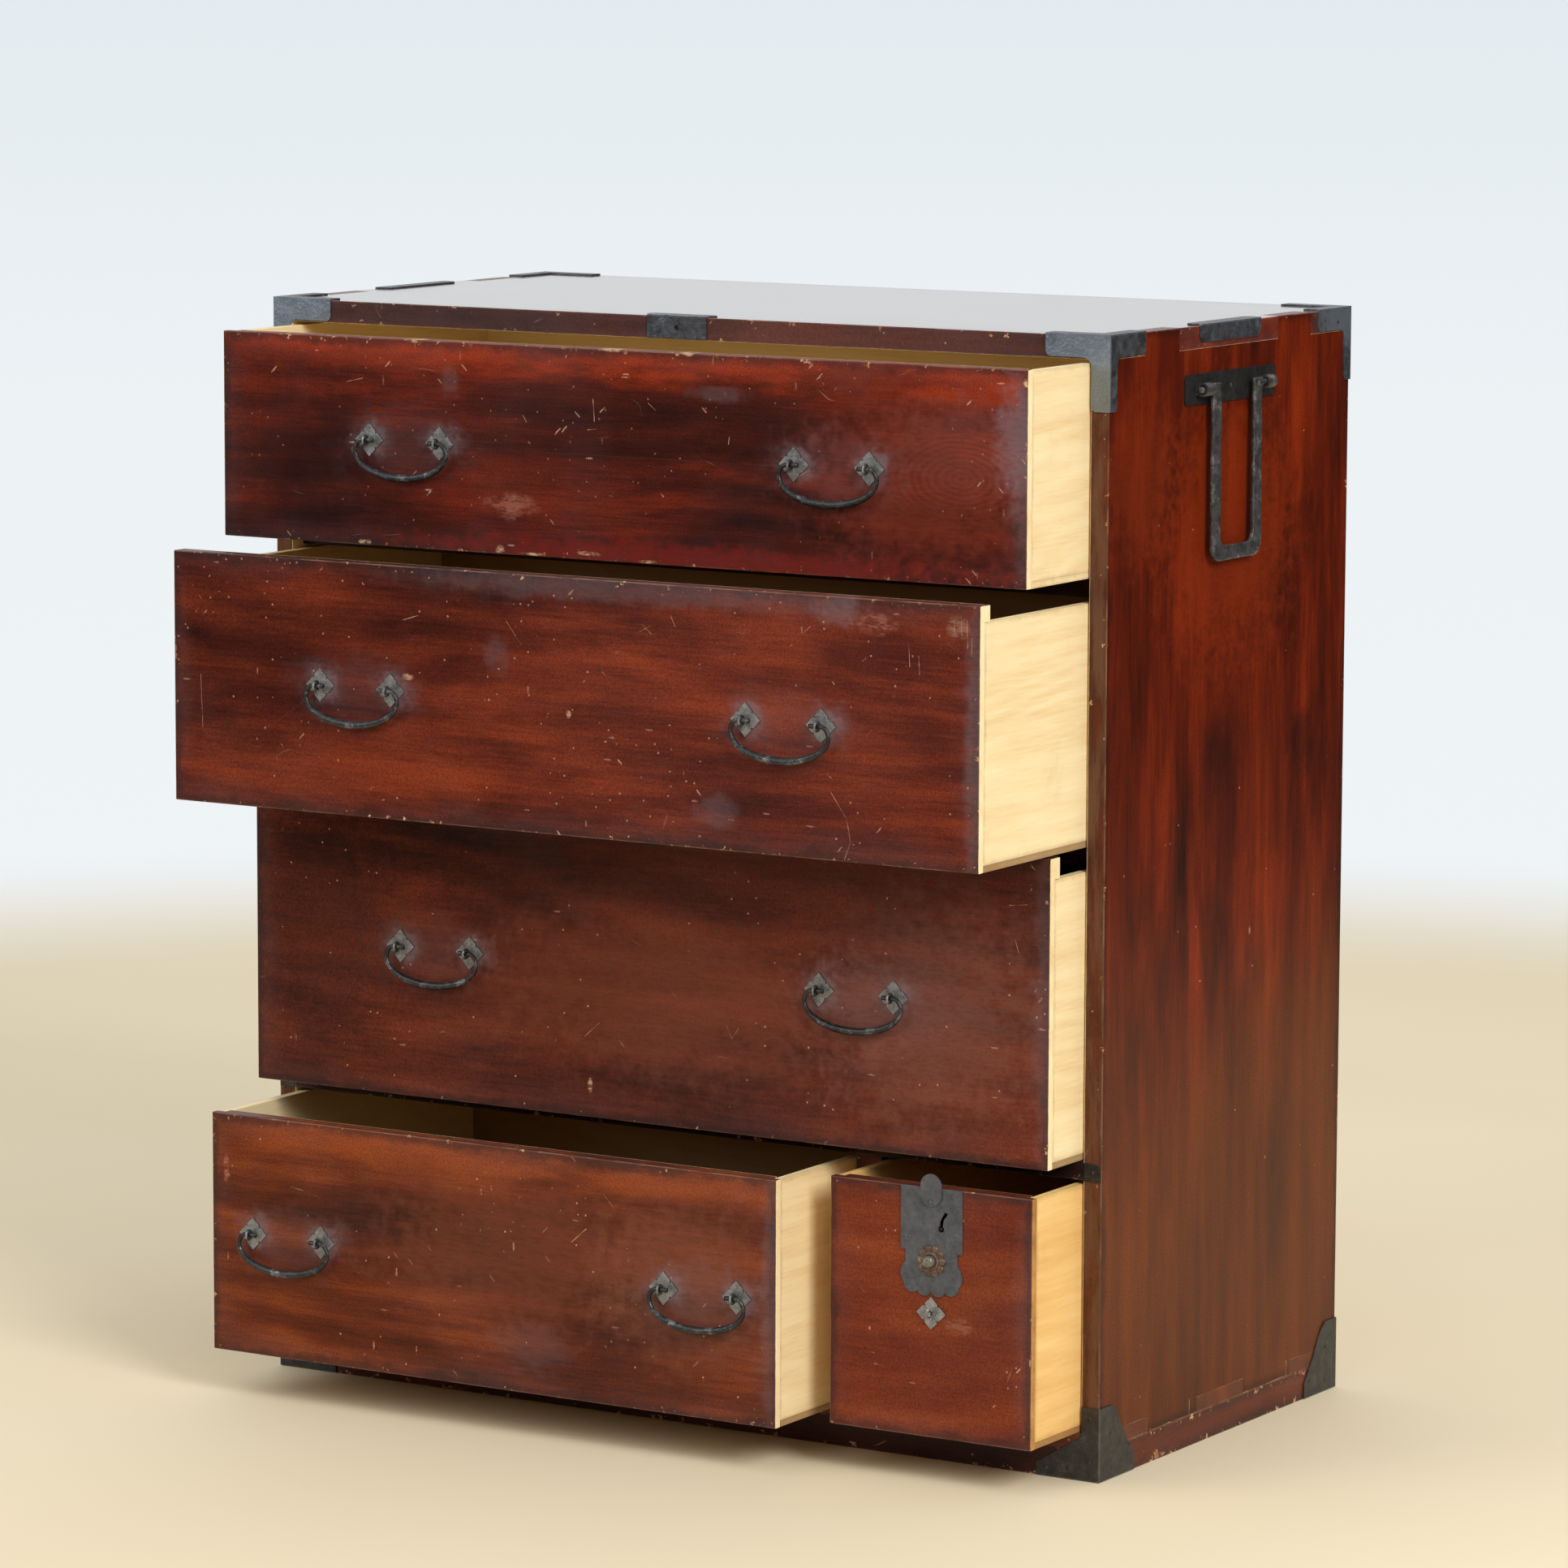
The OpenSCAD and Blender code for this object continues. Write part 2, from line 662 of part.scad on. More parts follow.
// Thick eyes whose shanks are driven into the side board
module handle_eyes() {
  neck_w = 1.5 * handle_eye_r;
  color(iron) pair_x() at_handle() for (side = [-1, 1]) translate([0, side * handle_eye_pitch / 2, 0]) {
    difference() {
      union() {
        translate([handle_stand, handle_eye_w / 2, 0]) rotate([90, 0, 0])
          cylinder(r = handle_eye_r, h = handle_eye_w);
        block([handle_plate_t, -handle_eye_w / 2, -neck_w / 2], [handle_stand, handle_eye_w / 2, neck_w / 2]);
      }
      translate([handle_stand, handle_eye_w / 2 + nip, 0]) rotate([90, 0, 0])
        cylinder(r = handle_pin_r + pin_gap, h = handle_eye_w + 2 * nip);
    }
    translate([-handle_shank_l, 0, 0]) rotate([0, 90, 0])
      cylinder(r = handle_shank_r, h = handle_shank_l + handle_plate_t + 0.5);
  }
}

// Flat bar bent into a long U, with pins turned outwards at the top
module carrying_handle() {
  corner = 15;
  inner_corner = 9;
  inner_w = handle_w - 2 * handle_bar_w;
  foot = handle_bar_w - 2;
  height = handle_l + leg_head;
  color(iron) at_handle() translate([handle_stand, 0, 0]) {
    translate([-handle_bar_t / 2, 0, 0]) side_plate(handle_bar_t) difference() {
      union() {
        translate([-handle_w / 2, -handle_l + corner]) square([handle_w, height - corner]);
        translate([-handle_w / 2 + corner, -handle_l]) square([handle_w - 2 * corner, corner + nip]);
        for (side = [-1, 1]) translate([side * (handle_w / 2 - corner), -handle_l + corner]) circle(r = corner);
      }
      translate([-inner_w / 2, -handle_l + foot + inner_corner]) square([inner_w, height]);
      translate([-inner_w / 2 + inner_corner, -handle_l + foot]) square([inner_w - 2 * inner_corner, height]);
      for (side = [-1, 1]) translate([side * (inner_w / 2 - inner_corner), -handle_l + foot + inner_corner])
        circle(r = inner_corner);
    }
    for (side = [-1, 1]) translate([0, side * leg_y, 0]) rotate([-side * 90, 0, 0])
      cylinder(r = handle_pin_r, h = handle_pin_l - leg_y);
  }
}

module handle_right() {
  carrying_handle();
}

module handle_left() {
  mirror([1, 0, 0]) carrying_handle();
}

// ---------------------------------------------------------------- irons of the case

// Level arm and an arm down the corner, with round tips and a fillet between them; the corner is at the origin
module arm_outline(strip_w) {
  fillet = 8;
  tip = 5;
  translate([-arm_l, tip - arm_h]) square([arm_l + iron_t, arm_h - tip + iron_t]);
  translate([tip - arm_l, -arm_h]) square([arm_l - tip + iron_t, tip + nip]);
  translate([-strip_w, tip - arm_drop]) square([strip_w + iron_t, arm_drop - tip + iron_t]);
  translate([tip - strip_w, -arm_drop]) square([strip_w - tip + iron_t, tip + nip]);
  for (corner = [[-arm_l, -arm_h], [-strip_w, -arm_drop]]) translate([corner[0] + tip, corner[1] + tip])
    circle(r = tip);
  difference() {
    translate([-strip_w - fillet, -arm_h - fillet]) square([fillet + nip, fillet + nip]);
    translate([-strip_w - fillet, -arm_h - fillet]) circle(r = fillet);
  }
}

// A corner iron of three arms for the top right front corner
module top_corner_iron() {
  translate([case_w / 2, front_y, case_h]) {
    face_plate(iron_t) arm_outline(side_t - 0.5);
    side_plate(iron_t) mirror([1, 0]) arm_outline(side_strip_w);
    linear_extrude(height = iron_t) {
      translate([-arm_l, -iron_t]) square([arm_l + iron_t, top_strip_w + iron_t]);
      translate([-top_strip_w, -iron_t]) square([top_strip_w + iron_t, arm_l + iron_t]);
    }
  }
}

module top_corner_irons() {
  color(iron) pair_x() {
    top_corner_iron();
    mirror([0, 1, 0]) top_corner_iron();
  }
}

// A flared iron round a bottom corner, clear of the floor and of the drawers
module bottom_corner_iron() {
  lift_off = 0.4;
  stile = side_t - 0.5;
  front_rise = z_low - 3;
  translate([case_w / 2, front_y, 0]) {
    face_plate(iron_t) polygon([
      [iron_t, lift_off], [-arm_l, lift_off], [-arm_l, 12], [-stile, front_rise],
      [-stile, foot_h], [iron_t, foot_h]
    ]);
    side_plate(iron_t) polygon([
      [-iron_t, lift_off], [arm_l, lift_off], [arm_l, 14], [arm_l * 0.72, foot_h * 0.55],
      [arm_l * 0.48, foot_h * 0.9], [arm_l * 0.34, foot_h], [-iron_t, foot_h]
    ]);
  }
}

module bottom_corner_irons() {
  color(iron) pair_x() {
    bottom_corner_iron();
    mirror([0, 1, 0]) bottom_corner_iron();
  }
}

// Straps folded over the side edges of the top, and one with a peg hole over the front edge
module edge_straps() {
  clip = 5;
  color(iron) {
    pair_x() translate([case_w / 2, -handle_ahead, case_h]) {
      side_plate(iron_t) polygon([
        [-strap_l / 2, iron_t], [-strap_l / 2, clip - strap_h], [clip - strap_l / 2, -strap_h],
        [strap_l / 2 - clip, -strap_h], [strap_l / 2, clip - strap_h], [strap_l / 2, iron_t]
      ]);
      linear_extrude(height = iron_t) polygon([
        [iron_t, -strap_l / 2], [clip - top_strip_w, -strap_l / 2], [-top_strip_w, clip - strap_l / 2],
        [-top_strip_w, strap_l / 2 - clip], [clip - top_strip_w, strap_l / 2], [iron_t, strap_l / 2]
      ]);
    }
    translate([0, front_y, case_h]) {
      face_plate(iron_t) difference() {
        translate([-front_strap_w / 2, -(top_t - 0.5)]) square([front_strap_w, top_t - 0.5 + iron_t]);
        translate([0, -top_t / 2]) circle(r = 2.3);
      }
      linear_extrude(height = iron_t) polygon([
        [-front_strap_w / 2, -iron_t], [front_strap_w / 2, -iron_t],
        [front_strap_w / 2 + clip, top_strip_w - clip], [front_strap_w / 2, top_strip_w],
        [-front_strap_w / 2, top_strip_w], [-front_strap_w / 2 - clip, top_strip_w - clip]
      ]);
    }
  }
}

// Small round-shouldered plates over the ends of the lower rail
module rail_end_plates() {
  w = side_t - 1;
  h = rail_t - 2;
  shoulder = h / 2;
  color(iron) pair_x() translate([inner_x + 0.5, front_y, z_rail_low]) face_plate(iron_t * 0.7) {
    square([w, h - shoulder]);
    square([w - shoulder, h]);
    translate([w - shoulder, h - shoulder]) circle(r = shoulder);
  }
}

// ---------------------------------------------------------------- lock of the small drawer

lock_x = front_x(5) + lock_shift;
cover_pivot = 13;              // depth of the key cover's rivet below the top edge of the front
cover_shift = 11;              // middle of the cover above its rivet
rosette_drop = 66.5;           // depth of the rosette below the top edge
cotter_drop = 114;             // depth of the small lozenge below the top edge
cotter_half = 15;
bolt_spare = 3;                // room over the raised bolt in its mortise
bolt_y = front_t + lock_case_t / 2;
bolt_foot = 30;                // depth of the bolt's lower end below the top edge
bolt_head = 1.5;               // depth of the bolt's upper end below the top edge
key_room = [12.6, -30.2, 10.4]; // room for the key behind the plate: middle and radius
key_recess = 3;                // depth of the recess for the key in the lock's case
key_pin = [9.8, -36.5];        // pin that guides the key
key_pin_r = 1.3;

// Moves to the lock: X at the plate's middle, Y at the front face, Z at the front's top edge
module at_lock() {
  at_drawer(5) translate([lock_shift, 0, front_h(5)]) children();
}

// Bent slot, and round hole over the pin that guides the key
module keyhole() {
  polygon([
    [14.2, -20.6], [16.8, -22.4], [12.6, -28.4], [11.4, -36.5], [8.4, -36.5], [8.6, -30.4], [10.4, -26.4]
  ]);
  translate(key_pin) circle(r = 3.1);
}

// Straight upper part, a narrower neck and a scalloped foot
module lock_outline() {
  straight = 58;
  neck_in = 5;
  lobe_r = 13;
  scallop_r = 8.5;
  scallop_z = scallop_r + 2 - lock_h;
  translate([-lock_w / 2, -straight]) square([lock_w, straight]);
  translate([neck_in - lock_w / 2, scallop_z]) square([lock_w - 2 * neck_in, -straight - scallop_z + nip]);
  for (side = [-1, 1]) {
    translate([side * (lock_w / 2 - lobe_r), scallop_z + scallop_r]) circle(r = lobe_r);
    translate([side * 20, scallop_z]) circle(r = scallop_r);
    translate([side * 7, scallop_z - 2]) circle(r = scallop_r);
  }
}

module lock_plate() {
  color(iron) at_lock() face_plate(plate_t) difference() {
    lock_outline();
    keyhole();
    translate([0, -cover_pivot]) circle(r = rivet_r + shank_gap);
    translate([0, -rosette_drop]) circle(r = stub_shank_r + shank_gap);
  }
}
stub_shank_r = 2.5;

// Holes through the small drawer's front
module lock_holes() {
  translate([lock_shift, -nip, front_h(5)]) {
    for (hole = [key_room, [0, -rosette_drop, stub_shank_r + shank_gap],
                 [0, -cotter_drop, shank_r + shank_gap],
                 [0, -cover_pivot, rivet_r + shank_gap]]) {
      translate([hole[0], 0, hole[1]]) rotate([-90, 0, 0]) cylinder(r = hole[2], h = front_t + 2 * nip);
    }
  }
}

// Oval cover that swings down over the keyhole
module key_cover() {
  round_r = cover_w / 2;
  color(iron) at_lock() translate([0, -plate_t - slide_gap, -cover_pivot]) face_plate(cover_t) difference() {
    translate([0, cover_shift]) {
      for (side = [-1, 1]) translate([0, side * (cover_l / 2 - round_r)]) circle(r = round_r);
      square([cover_w, cover_l - cover_w], center = true);
    }
    circle(r = rivet_r + slide_gap);
  }
}

module key_cover_rivet() {
  reach = plate_t + slide_gap + cover_t;
  color(iron) at_lock() translate([0, -reach, -cover_pivot]) rotate([-90, 0, 0])
    cylinder(r = rivet_r, h = reach + front_t * 0.8);
}

// Flower-shaped washer with a raised ring round its hole
module rosette() {
  petal_r = rosette_r * 0.27;
  color(rusty_iron) at_lock() translate([0, -plate_t, -rosette_drop]) {
    face_plate(1.6) difference() {
      union() {
        circle(r = rosette_r - petal_r);
        for (k = [0 : petals - 1]) rotate(360 * k / petals) translate([rosette_r - petal_r, 0])
          circle(r = petal_r, $fn = 24);
      }
      circle(r = stub_shank_r + shank_gap);
    }
    translate([0, -1.5, 0]) rotate([90, 0, 0]) rotate_extrude() polygon([
      [stub_r + 0.6, 0], [stub_r + 3.2, 0], [stub_r + 2.4, 1.2], [stub_r + 1.2, 1.2]
    ]);
  }
}

// Worn stub of the small drawer's pull
module rosette_stub() {
  start = plate_t + 1.6;
  color(iron) at_lock() translate([0, -start, -rosette_drop]) {
    rotate([90, 0, 0]) rotate_extrude() polygon([
      [0, 0], [stub_r, 0], [stub_r, stub_l * 0.7], [stub_r * 0.8, stub_l * 0.93],
      [stub_r * 0.4, stub_l], [0, stub_l]
    ]);
    rotate([-90, 0, 0]) cylinder(r = stub_shank_r, h = start + front_t + 0.5);
  }
}

// Small lozenge with a broken eye
module cotter_plate() {
  color(iron) at_lock() translate([0, 0, -cotter_drop]) {
    difference() {
      face_plate(plate_t) lozenge(cotter_half);
      rotate([90, 0, 0]) translate([0, 0, -nip]) cylinder(r = shank_r + shank_gap, h = plate_t + 2 * nip);
    }
    cotter_eye(150);
  }
}

// Case of the lock behind the front, open above for its bolt, with the pin for the key
module lock_case() {
  half_w = lock_w / 2 - 10;
  color(iron) at_lock() {
    difference() {
      block([-half_w, front_t, -lock_case_h - 9], [half_w, front_t + lock_case_t, -9]);
      block([-bolt_w / 2 - slide_gap, bolt_y - bolt_t / 2 - slide_gap, -bolt_foot - slide_gap],
            [bolt_w / 2 + slide_gap, bolt_y + bolt_t / 2 + slide_gap, 0]);
      translate([key_room[0], front_t - nip, key_room[1]]) rotate([-90, 0, 0])
        cylinder(r = 8, h = key_recess + nip);
    }
    translate([key_pin[0], -plate_t / 2, key_pin[1]]) rotate([-90, 0, 0])
      cylinder(r = key_pin_r, h = plate_t / 2 + front_t + key_recess + nip);
  }
}

// Bolt that rises into the lower rail
module lock_bolt() {
  color(iron) at_lock() block([-bolt_w / 2, bolt_y - bolt_t / 2, -bolt_foot],
                              [bolt_w / 2, bolt_y + bolt_t / 2, -bolt_head]);
}

top_board();
side_left();
side_right();
bottom_board();
back_boards();
base_long_rails();
base_cross_rails();
shelf_rails();
dust_boards();
partition();
drawer_stops();
top_corner_irons();
bottom_corner_irons();
edge_straps();
rail_end_plates();
handle_plates();
handle_eyes();
handle_left();
handle_right();
front_of(1);  // drawer_1_front
sides_of(1);  // drawer_1_sides
back_of(1);  // drawer_1_back
bottom_of(1);  // drawer_1_bottom
front_of(2);  // drawer_2_front
sides_of(2);  // drawer_2_sides
back_of(2);  // drawer_2_back
bottom_of(2);  // drawer_2_bottom
front_of(3);  // drawer_3_front
sides_of(3);  // drawer_3_sides
back_of(3);  // drawer_3_back
bottom_of(3);  // drawer_3_bottom
front_of(4);  // drawer_4_front
sides_of(4);  // drawer_4_sides
back_of(4);  // drawer_4_back
bottom_of(4);  // drawer_4_bottom
front_of(5);  // drawer_5_front
sides_of(5);  // drawer_5_sides
back_of(5);  // drawer_5_back
bottom_of(5);  // drawer_5_bottom
pull_mounts(1);  // drawer_1_pull_mounts
pull_mounts(2);  // drawer_2_pull_mounts
pull_mounts(3);  // drawer_3_pull_mounts
pull_mounts(4);  // drawer_4_pull_mounts
bail(1, -1);  // drawer_1_bail_left
bail(1, 1);  // drawer_1_bail_right
bail(2, -1);  // drawer_2_bail_left
bail(2, 1);  // drawer_2_bail_right
bail(3, -1);  // drawer_3_bail_left
bail(3, 1);  // drawer_3_bail_right
bail(4, -1);  // drawer_4_bail_left
bail(4, 1);  // drawer_4_bail_right
lock_plate();
key_cover();
key_cover_rivet();
rosette();
rosette_stub();
cotter_plate();
lock_case();
lock_bolt();
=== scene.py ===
"""Looks for the small tansu chest: lacquered case and drawers, bare drawer linings, forged iron fittings."""

import math

import bpy
import numpy as np
from mathutils import Matrix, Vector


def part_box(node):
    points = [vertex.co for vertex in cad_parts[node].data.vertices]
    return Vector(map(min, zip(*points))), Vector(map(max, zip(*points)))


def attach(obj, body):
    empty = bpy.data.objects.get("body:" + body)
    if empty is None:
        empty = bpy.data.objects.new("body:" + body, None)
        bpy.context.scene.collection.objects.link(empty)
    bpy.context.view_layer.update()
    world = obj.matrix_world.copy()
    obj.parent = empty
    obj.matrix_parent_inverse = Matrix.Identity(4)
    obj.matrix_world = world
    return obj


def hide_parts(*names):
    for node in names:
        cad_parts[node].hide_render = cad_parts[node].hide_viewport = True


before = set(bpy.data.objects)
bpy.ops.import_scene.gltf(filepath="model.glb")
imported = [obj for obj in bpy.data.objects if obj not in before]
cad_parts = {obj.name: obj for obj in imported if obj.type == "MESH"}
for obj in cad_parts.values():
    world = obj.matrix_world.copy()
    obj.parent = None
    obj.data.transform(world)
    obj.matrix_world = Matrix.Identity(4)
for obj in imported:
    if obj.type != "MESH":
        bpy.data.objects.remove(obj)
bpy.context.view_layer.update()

# ---- measures of the chest, in metres

MM = 0.001
CASE_W, CASE_D, CASE_H = 0.900, 0.462, 1.030
FRONT_Y = -CASE_D / 2
SIDE_T = 0.018
IRON_T = 0.0015
HANDLE_DROP, HANDLE_Y = 0.057, -0.0065
EYE_PITCH, EYE_STAND = 0.078, 0.0075
PIN_R = 0.0022
SIDES = ("left", "right")
PULL_DRAWERS = (1, 2, 3, 4)
DRAWERS = {n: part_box("drawer_%d_front" % n) for n in range(1, 6)}


def pull_places():
    """The middle of each bail's pins, by drawer and side."""
    places = {}
    for n in PULL_DRAWERS:
        for side in SIDES:
            low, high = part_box("drawer_%d_bail_%s" % (n, side))
            places[n, side] = np.array([(low[0] + high[0]) / 2, DRAWERS[n][0][1] - EYE_STAND, high[2] - PIN_R])
    return places


PULLS = pull_places()


# ---- camera, light and floor

CHEST_MIDDLE = (0, 0, 0.5)


def unit(vector):
    """The vector at length one."""
    return vector / np.linalg.norm(vector)


def stand(name, data, right, up, back, place):
    """A new object in the scene at place, turned to the three axes."""
    thing = bpy.data.objects.new(name, data)
    bpy.context.scene.collection.objects.link(thing)
    turn = np.eye(4)
    turn[:3, 0], turn[:3, 1], turn[:3, 2], turn[:3, 3] = right, up, back, place
    thing.matrix_world = Matrix(turn.tolist())
    return thing


def stand_camera():
    """The photograph's camera: its place, its turn about the upright, its tilt down and its small roll."""
    place, yaw, pitch, roll = (3.36986, -5.52493, 1.46047), 0.55111, 0.136235, -0.00365
    back = np.array([math.sin(yaw) * math.cos(pitch), -math.cos(yaw) * math.cos(pitch), math.sin(pitch)])
    right = unit(np.cross(-back, [0, 0, 1]))
    down = np.cross(-back, right)
    right, down = math.cos(roll) * right + math.sin(roll) * down, math.cos(roll) * down - math.sin(roll) * right
    lens = bpy.data.cameras.new("camera")
    lens.lens, lens.sensor_width, lens.sensor_height, lens.sensor_fit = 158.08, 36, 36, "HORIZONTAL"
    lens.clip_start, lens.clip_end = 0.1, 60
    bpy.context.scene.camera = stand("camera", lens, right, -down, back, place)
    bpy.context.scene.view_settings.view_transform = "Standard"


def soft_box(name, place, size, watts, tint):
    """A square studio light at place that faces the middle of the chest."""
    lamp = bpy.data.lights.new(name, "AREA")
    lamp.shape, lamp.size, lamp.energy, lamp.color = "SQUARE", size, watts, tint
    back = unit(np.array(place, float) - CHEST_MIDDLE)
    right = unit(np.cross([0, 0, 1], back))
    stand(name, lamp, right, np.cross(back, right), back, place)


# ---- shader wiring

class Wiring:
    """Adds nodes to one node tree. Most methods return the new node's first output."""

    def __init__(self, tree):
        self.tree = tree

    def plug(self, socket, value):
        """Links a socket, or sets its value."""
        if isinstance(value, bpy.types.NodeSocket):
            self.tree.links.new(value, socket)
        else:
            socket.default_value = value

    def fill(self, node, values):
        """Links or sets inputs of a node, by name or number."""
        for name, value in values.items():
            self.plug(node.inputs[name], value)

    def add(self, kind, inputs=None, **settings):
        """One node with its settings, and its inputs by name or number."""
        node = self.tree.nodes.new("ShaderNode" + kind)
        for name, value in settings.items():
            setattr(node, name, value)
        self.fill(node, inputs or {})
        return node

    def math(self, operation, a, b=0.0, clamp=False):
        return self.add("Math", {0: a, 1: b}, operation=operation, use_clamp=clamp).outputs[0]

    def times(self, a, b, clamp=False):
        return self.math("MULTIPLY", a, b, clamp)

    def plus(self, a, b):
        return self.math("ADD", a, b)

    def minus(self, a, b):
        return self.math("SUBTRACT", a, b)

    def larger(self, a, b, clamp=False):
        return self.math("MAXIMUM", a, b, clamp)

    def absolute(self, a):
        return self.math("ABSOLUTE", a)

    def centred(self, value, share):
        """A value about one half, moved to lie about zero and multiplied by share."""
        return self.times(self.minus(value, 0.5), share)

    def wave(self, phase):
        """A sine of phase that runs from zero to one."""
        return self.plus(self.times(self.math("SINE", phase), 0.5), 0.5)

    def vector(self, operation, a, b=(0, 0, 0)):
        node = self.add("VectorMath", {0: a, "Scale" if operation == "SCALE" else 1: b}, operation=operation)
        return node.outputs["Value" if operation in ("LENGTH", "DOT_PRODUCT") else "Vector"]

    def stretch(self, vector, shares):
        """The vector with each of its parts multiplied by its own share."""
        return self.vector("MULTIPLY", vector, shares)

    def split(self, vector):
        return self.add("SeparateXYZ", {0: vector}).outputs

    def join(self, x, y, z):
        return self.add("CombineXYZ", {0: x, 1: y, 2: z}).outputs[0]

    def noise(self, vector, scale, detail=2.0, roughness=0.5, distortion=0.0):
        return self.add("TexNoise", {"Vector": vector, "Scale": scale, "Detail": detail, "Roughness": roughness,
                                     "Distortion": distortion}).outputs[0]

    def cells(self, vector, scale):
        return self.add("TexVoronoi", {"Vector": vector, "Scale": scale}).outputs

    def remap(self, value, low, high, to_low=0.0, to_high=1.0):
        """A smooth step of value from low..high to to_low..to_high."""
        return self.add("MapRange", {"Value": value, 1: low, 2: high, 3: to_low, 4: to_high},
                        interpolation_type="SMOOTHSTEP").outputs[0]

    def mix(self, factor, a, b, blend="MIX"):
        return self.add("Mix", {0: factor, 6: a, 7: b}, data_type="RGBA", blend_type=blend).outputs[2]

    def ramp(self, value, stops):
        """A colour ramp through (place, colour) stops."""
        node = self.add("ValToRGB", {0: value})
        row = node.color_ramp.elements
        while len(row) < len(stops):
            row.new(0.5)
        for element, (place, colour) in zip(row, stops):
            element.position, element.color = place, rgb(colour)
        return node.outputs[0]

    def call(self, group, **inputs):
        """A shader group placed with its own values."""
        return self.add("Group", inputs, node_tree=group).outputs


def rgb(colour):
    """A linear colour with alpha from display red, green and blue of 0 to 255."""
    share = [c / 255 for c in colour]
    return tuple(c / 12.92 if c <= 0.04045 else ((c + 0.055) / 1.055) ** 2.4 for c in share) + (1.0,)


def shader_group(name, vectors, numbers, results):
    """A new shader group. Its inputs are the named vectors, then the named numbers, and its results are numbers."""
    tree = bpy.data.node_groups.new(name, "ShaderNodeTree")
    for names, way, kind in ((vectors, "INPUT", "Vector"), (numbers, "INPUT", "Float"), (results, "OUTPUT", "Float")):
        for socket in names.split():
            tree.interface.new_socket(socket, in_out=way, socket_type="NodeSocket" + kind)
    start, end = tree.nodes.new("NodeGroupInput"), tree.nodes.new("NodeGroupOutput")
    return tree, Wiring(tree), start.outputs, end.inputs


def make_arris_group():
    """Distance to the nearest edge of a box: the middle one of the three distances to its faces."""
    tree, w, given, out = shader_group("arris_distance", "Point Centre Half", "", "Distance")
    away = w.vector("ABSOLUTE", w.vector("SUBTRACT", given["Point"], given["Centre"]))
    depth = w.vector("SUBTRACT", given["Half"], away)
    x, y, z = w.split(depth)
    middle = w.larger(w.math("MINIMUM", x, y), w.math("MINIMUM", w.larger(x, y), z))
    w.plug(out["Distance"], w.larger(middle, 0.0))
    return tree


def make_timber_group():
    """Wood with its grain along X: growth bands bent by slow noise, long fibres, and broad clouds of colour."""
    tree, w, given, out = shader_group("timber", "Point", "Seed Bands", "Band Fibre Cloud Streak")
    moved = w.vector("ADD", given["Point"], w.vector("SCALE", (3.1, 7.7, 5.3), given["Seed"]))
    bend = w.noise(w.stretch(moved, (1.3, 5.0, 5.0)), 1.0, 2.0, 0.45, 0.4)
    _, y, z = w.split(moved)
    across = w.plus(w.plus(y, z), w.times(bend, 0.22))
    ripple = w.noise(w.stretch(moved, (3.0, 60.0, 60.0)), 1.0, 2.0)
    phase = w.plus(w.times(across, given["Bands"]), w.times(ripple, 2.2))
    w.plug(out["Band"], w.math("POWER", w.wave(phase), 1.8))
    w.plug(out["Fibre"], w.noise(w.stretch(moved, (20.0, 380.0, 380.0)), 1.0, 3.0, 0.65))
    w.plug(out["Cloud"], w.noise(w.stretch(moved, (3.4, 11.0, 11.0)), 1.0, 5.0, 0.58, 0.35))
    w.plug(out["Streak"], w.noise(w.stretch(moved, (4.6, 46.0, 46.0)), 1.0, 4.0, 0.62, 0.2))
    return tree


def make_scuff_group():
    """Wear of a painted face: fine lines where a noise crosses its middle, broken up by a second noise, and small
    pits of five shapes where cell distances are short, crowded where a slow noise is high."""
    tree, w, given, out = shader_group("scuffs", "Point", "Seed Lines Pits", "Lines Pits Haze")
    moved = w.vector("ADD", given["Point"], w.vector("SCALE", (1.7, 4.1, 2.3), given["Seed"]))
    contour = w.absolute(w.minus(w.noise(w.stretch(moved, (1.0, 1.0, 2.2)), 7.0, 1.0, 0.4, 0.6), 0.5))
    thin = w.remap(contour, 0.0, 0.0022, 1.0, 0.0)
    broken = w.remap(w.noise(moved, 24.0, 2.0, 0.6), w.minus(0.78, given["Lines"]), 0.80)
    w.plug(out["Lines"], w.times(thin, broken))
    crowd = w.times(given["Pits"], w.remap(w.noise(moved, 9.0, 2.0, 0.6), 0.42, 0.66, 0.2, 3.2))
    uneven = w.centred(w.noise(moved, 620.0, 2.0), 0.16)
    marks = 0.0
    x, y, z = w.split(moved)
    leaning = w.join(w.plus(x, z), y, w.minus(z, x))
    for start, stretch, scale, share, size in (
            (moved, (0.45, 1.0, 2.0), 52.0, 0.7, 0.13), (moved, (1.5, 1.0, 0.38), 56.0, 0.7, 0.12),
            (leaning, (0.30, 1.0, 1.5), 50.0, 0.6, 0.12), (leaning, (1.5, 1.0, 0.30), 54.0, 0.6, 0.12),
            (moved, (1.0, 1.0, 1.0), 110.0, 1.2, 0.16)):
        spots = w.cells(w.stretch(w.vector("ADD", start, (share, size, scale)), stretch), scale)
        chance, strength, _ = w.split(spots["Color"])
        pick = w.math("LESS_THAN", chance, w.times(crowd, share))
        dot = w.remap(w.plus(spots["Distance"], uneven), 0.55 * size, 0.8 * size, 1.0, 0.0)
        bright = w.plus(w.times(strength, 0.75), 0.25)
        marks = w.larger(marks, w.times(w.times(dot, pick), bright))
    w.plug(out["Pits"], marks)
    # Blotches of hazy bloom, also used as painted sheen.
    w.plug(out["Haze"], w.remap(w.noise(moved, 5.5, 4.0, 0.65, 0.8), 0.45, 0.75))
    return tree


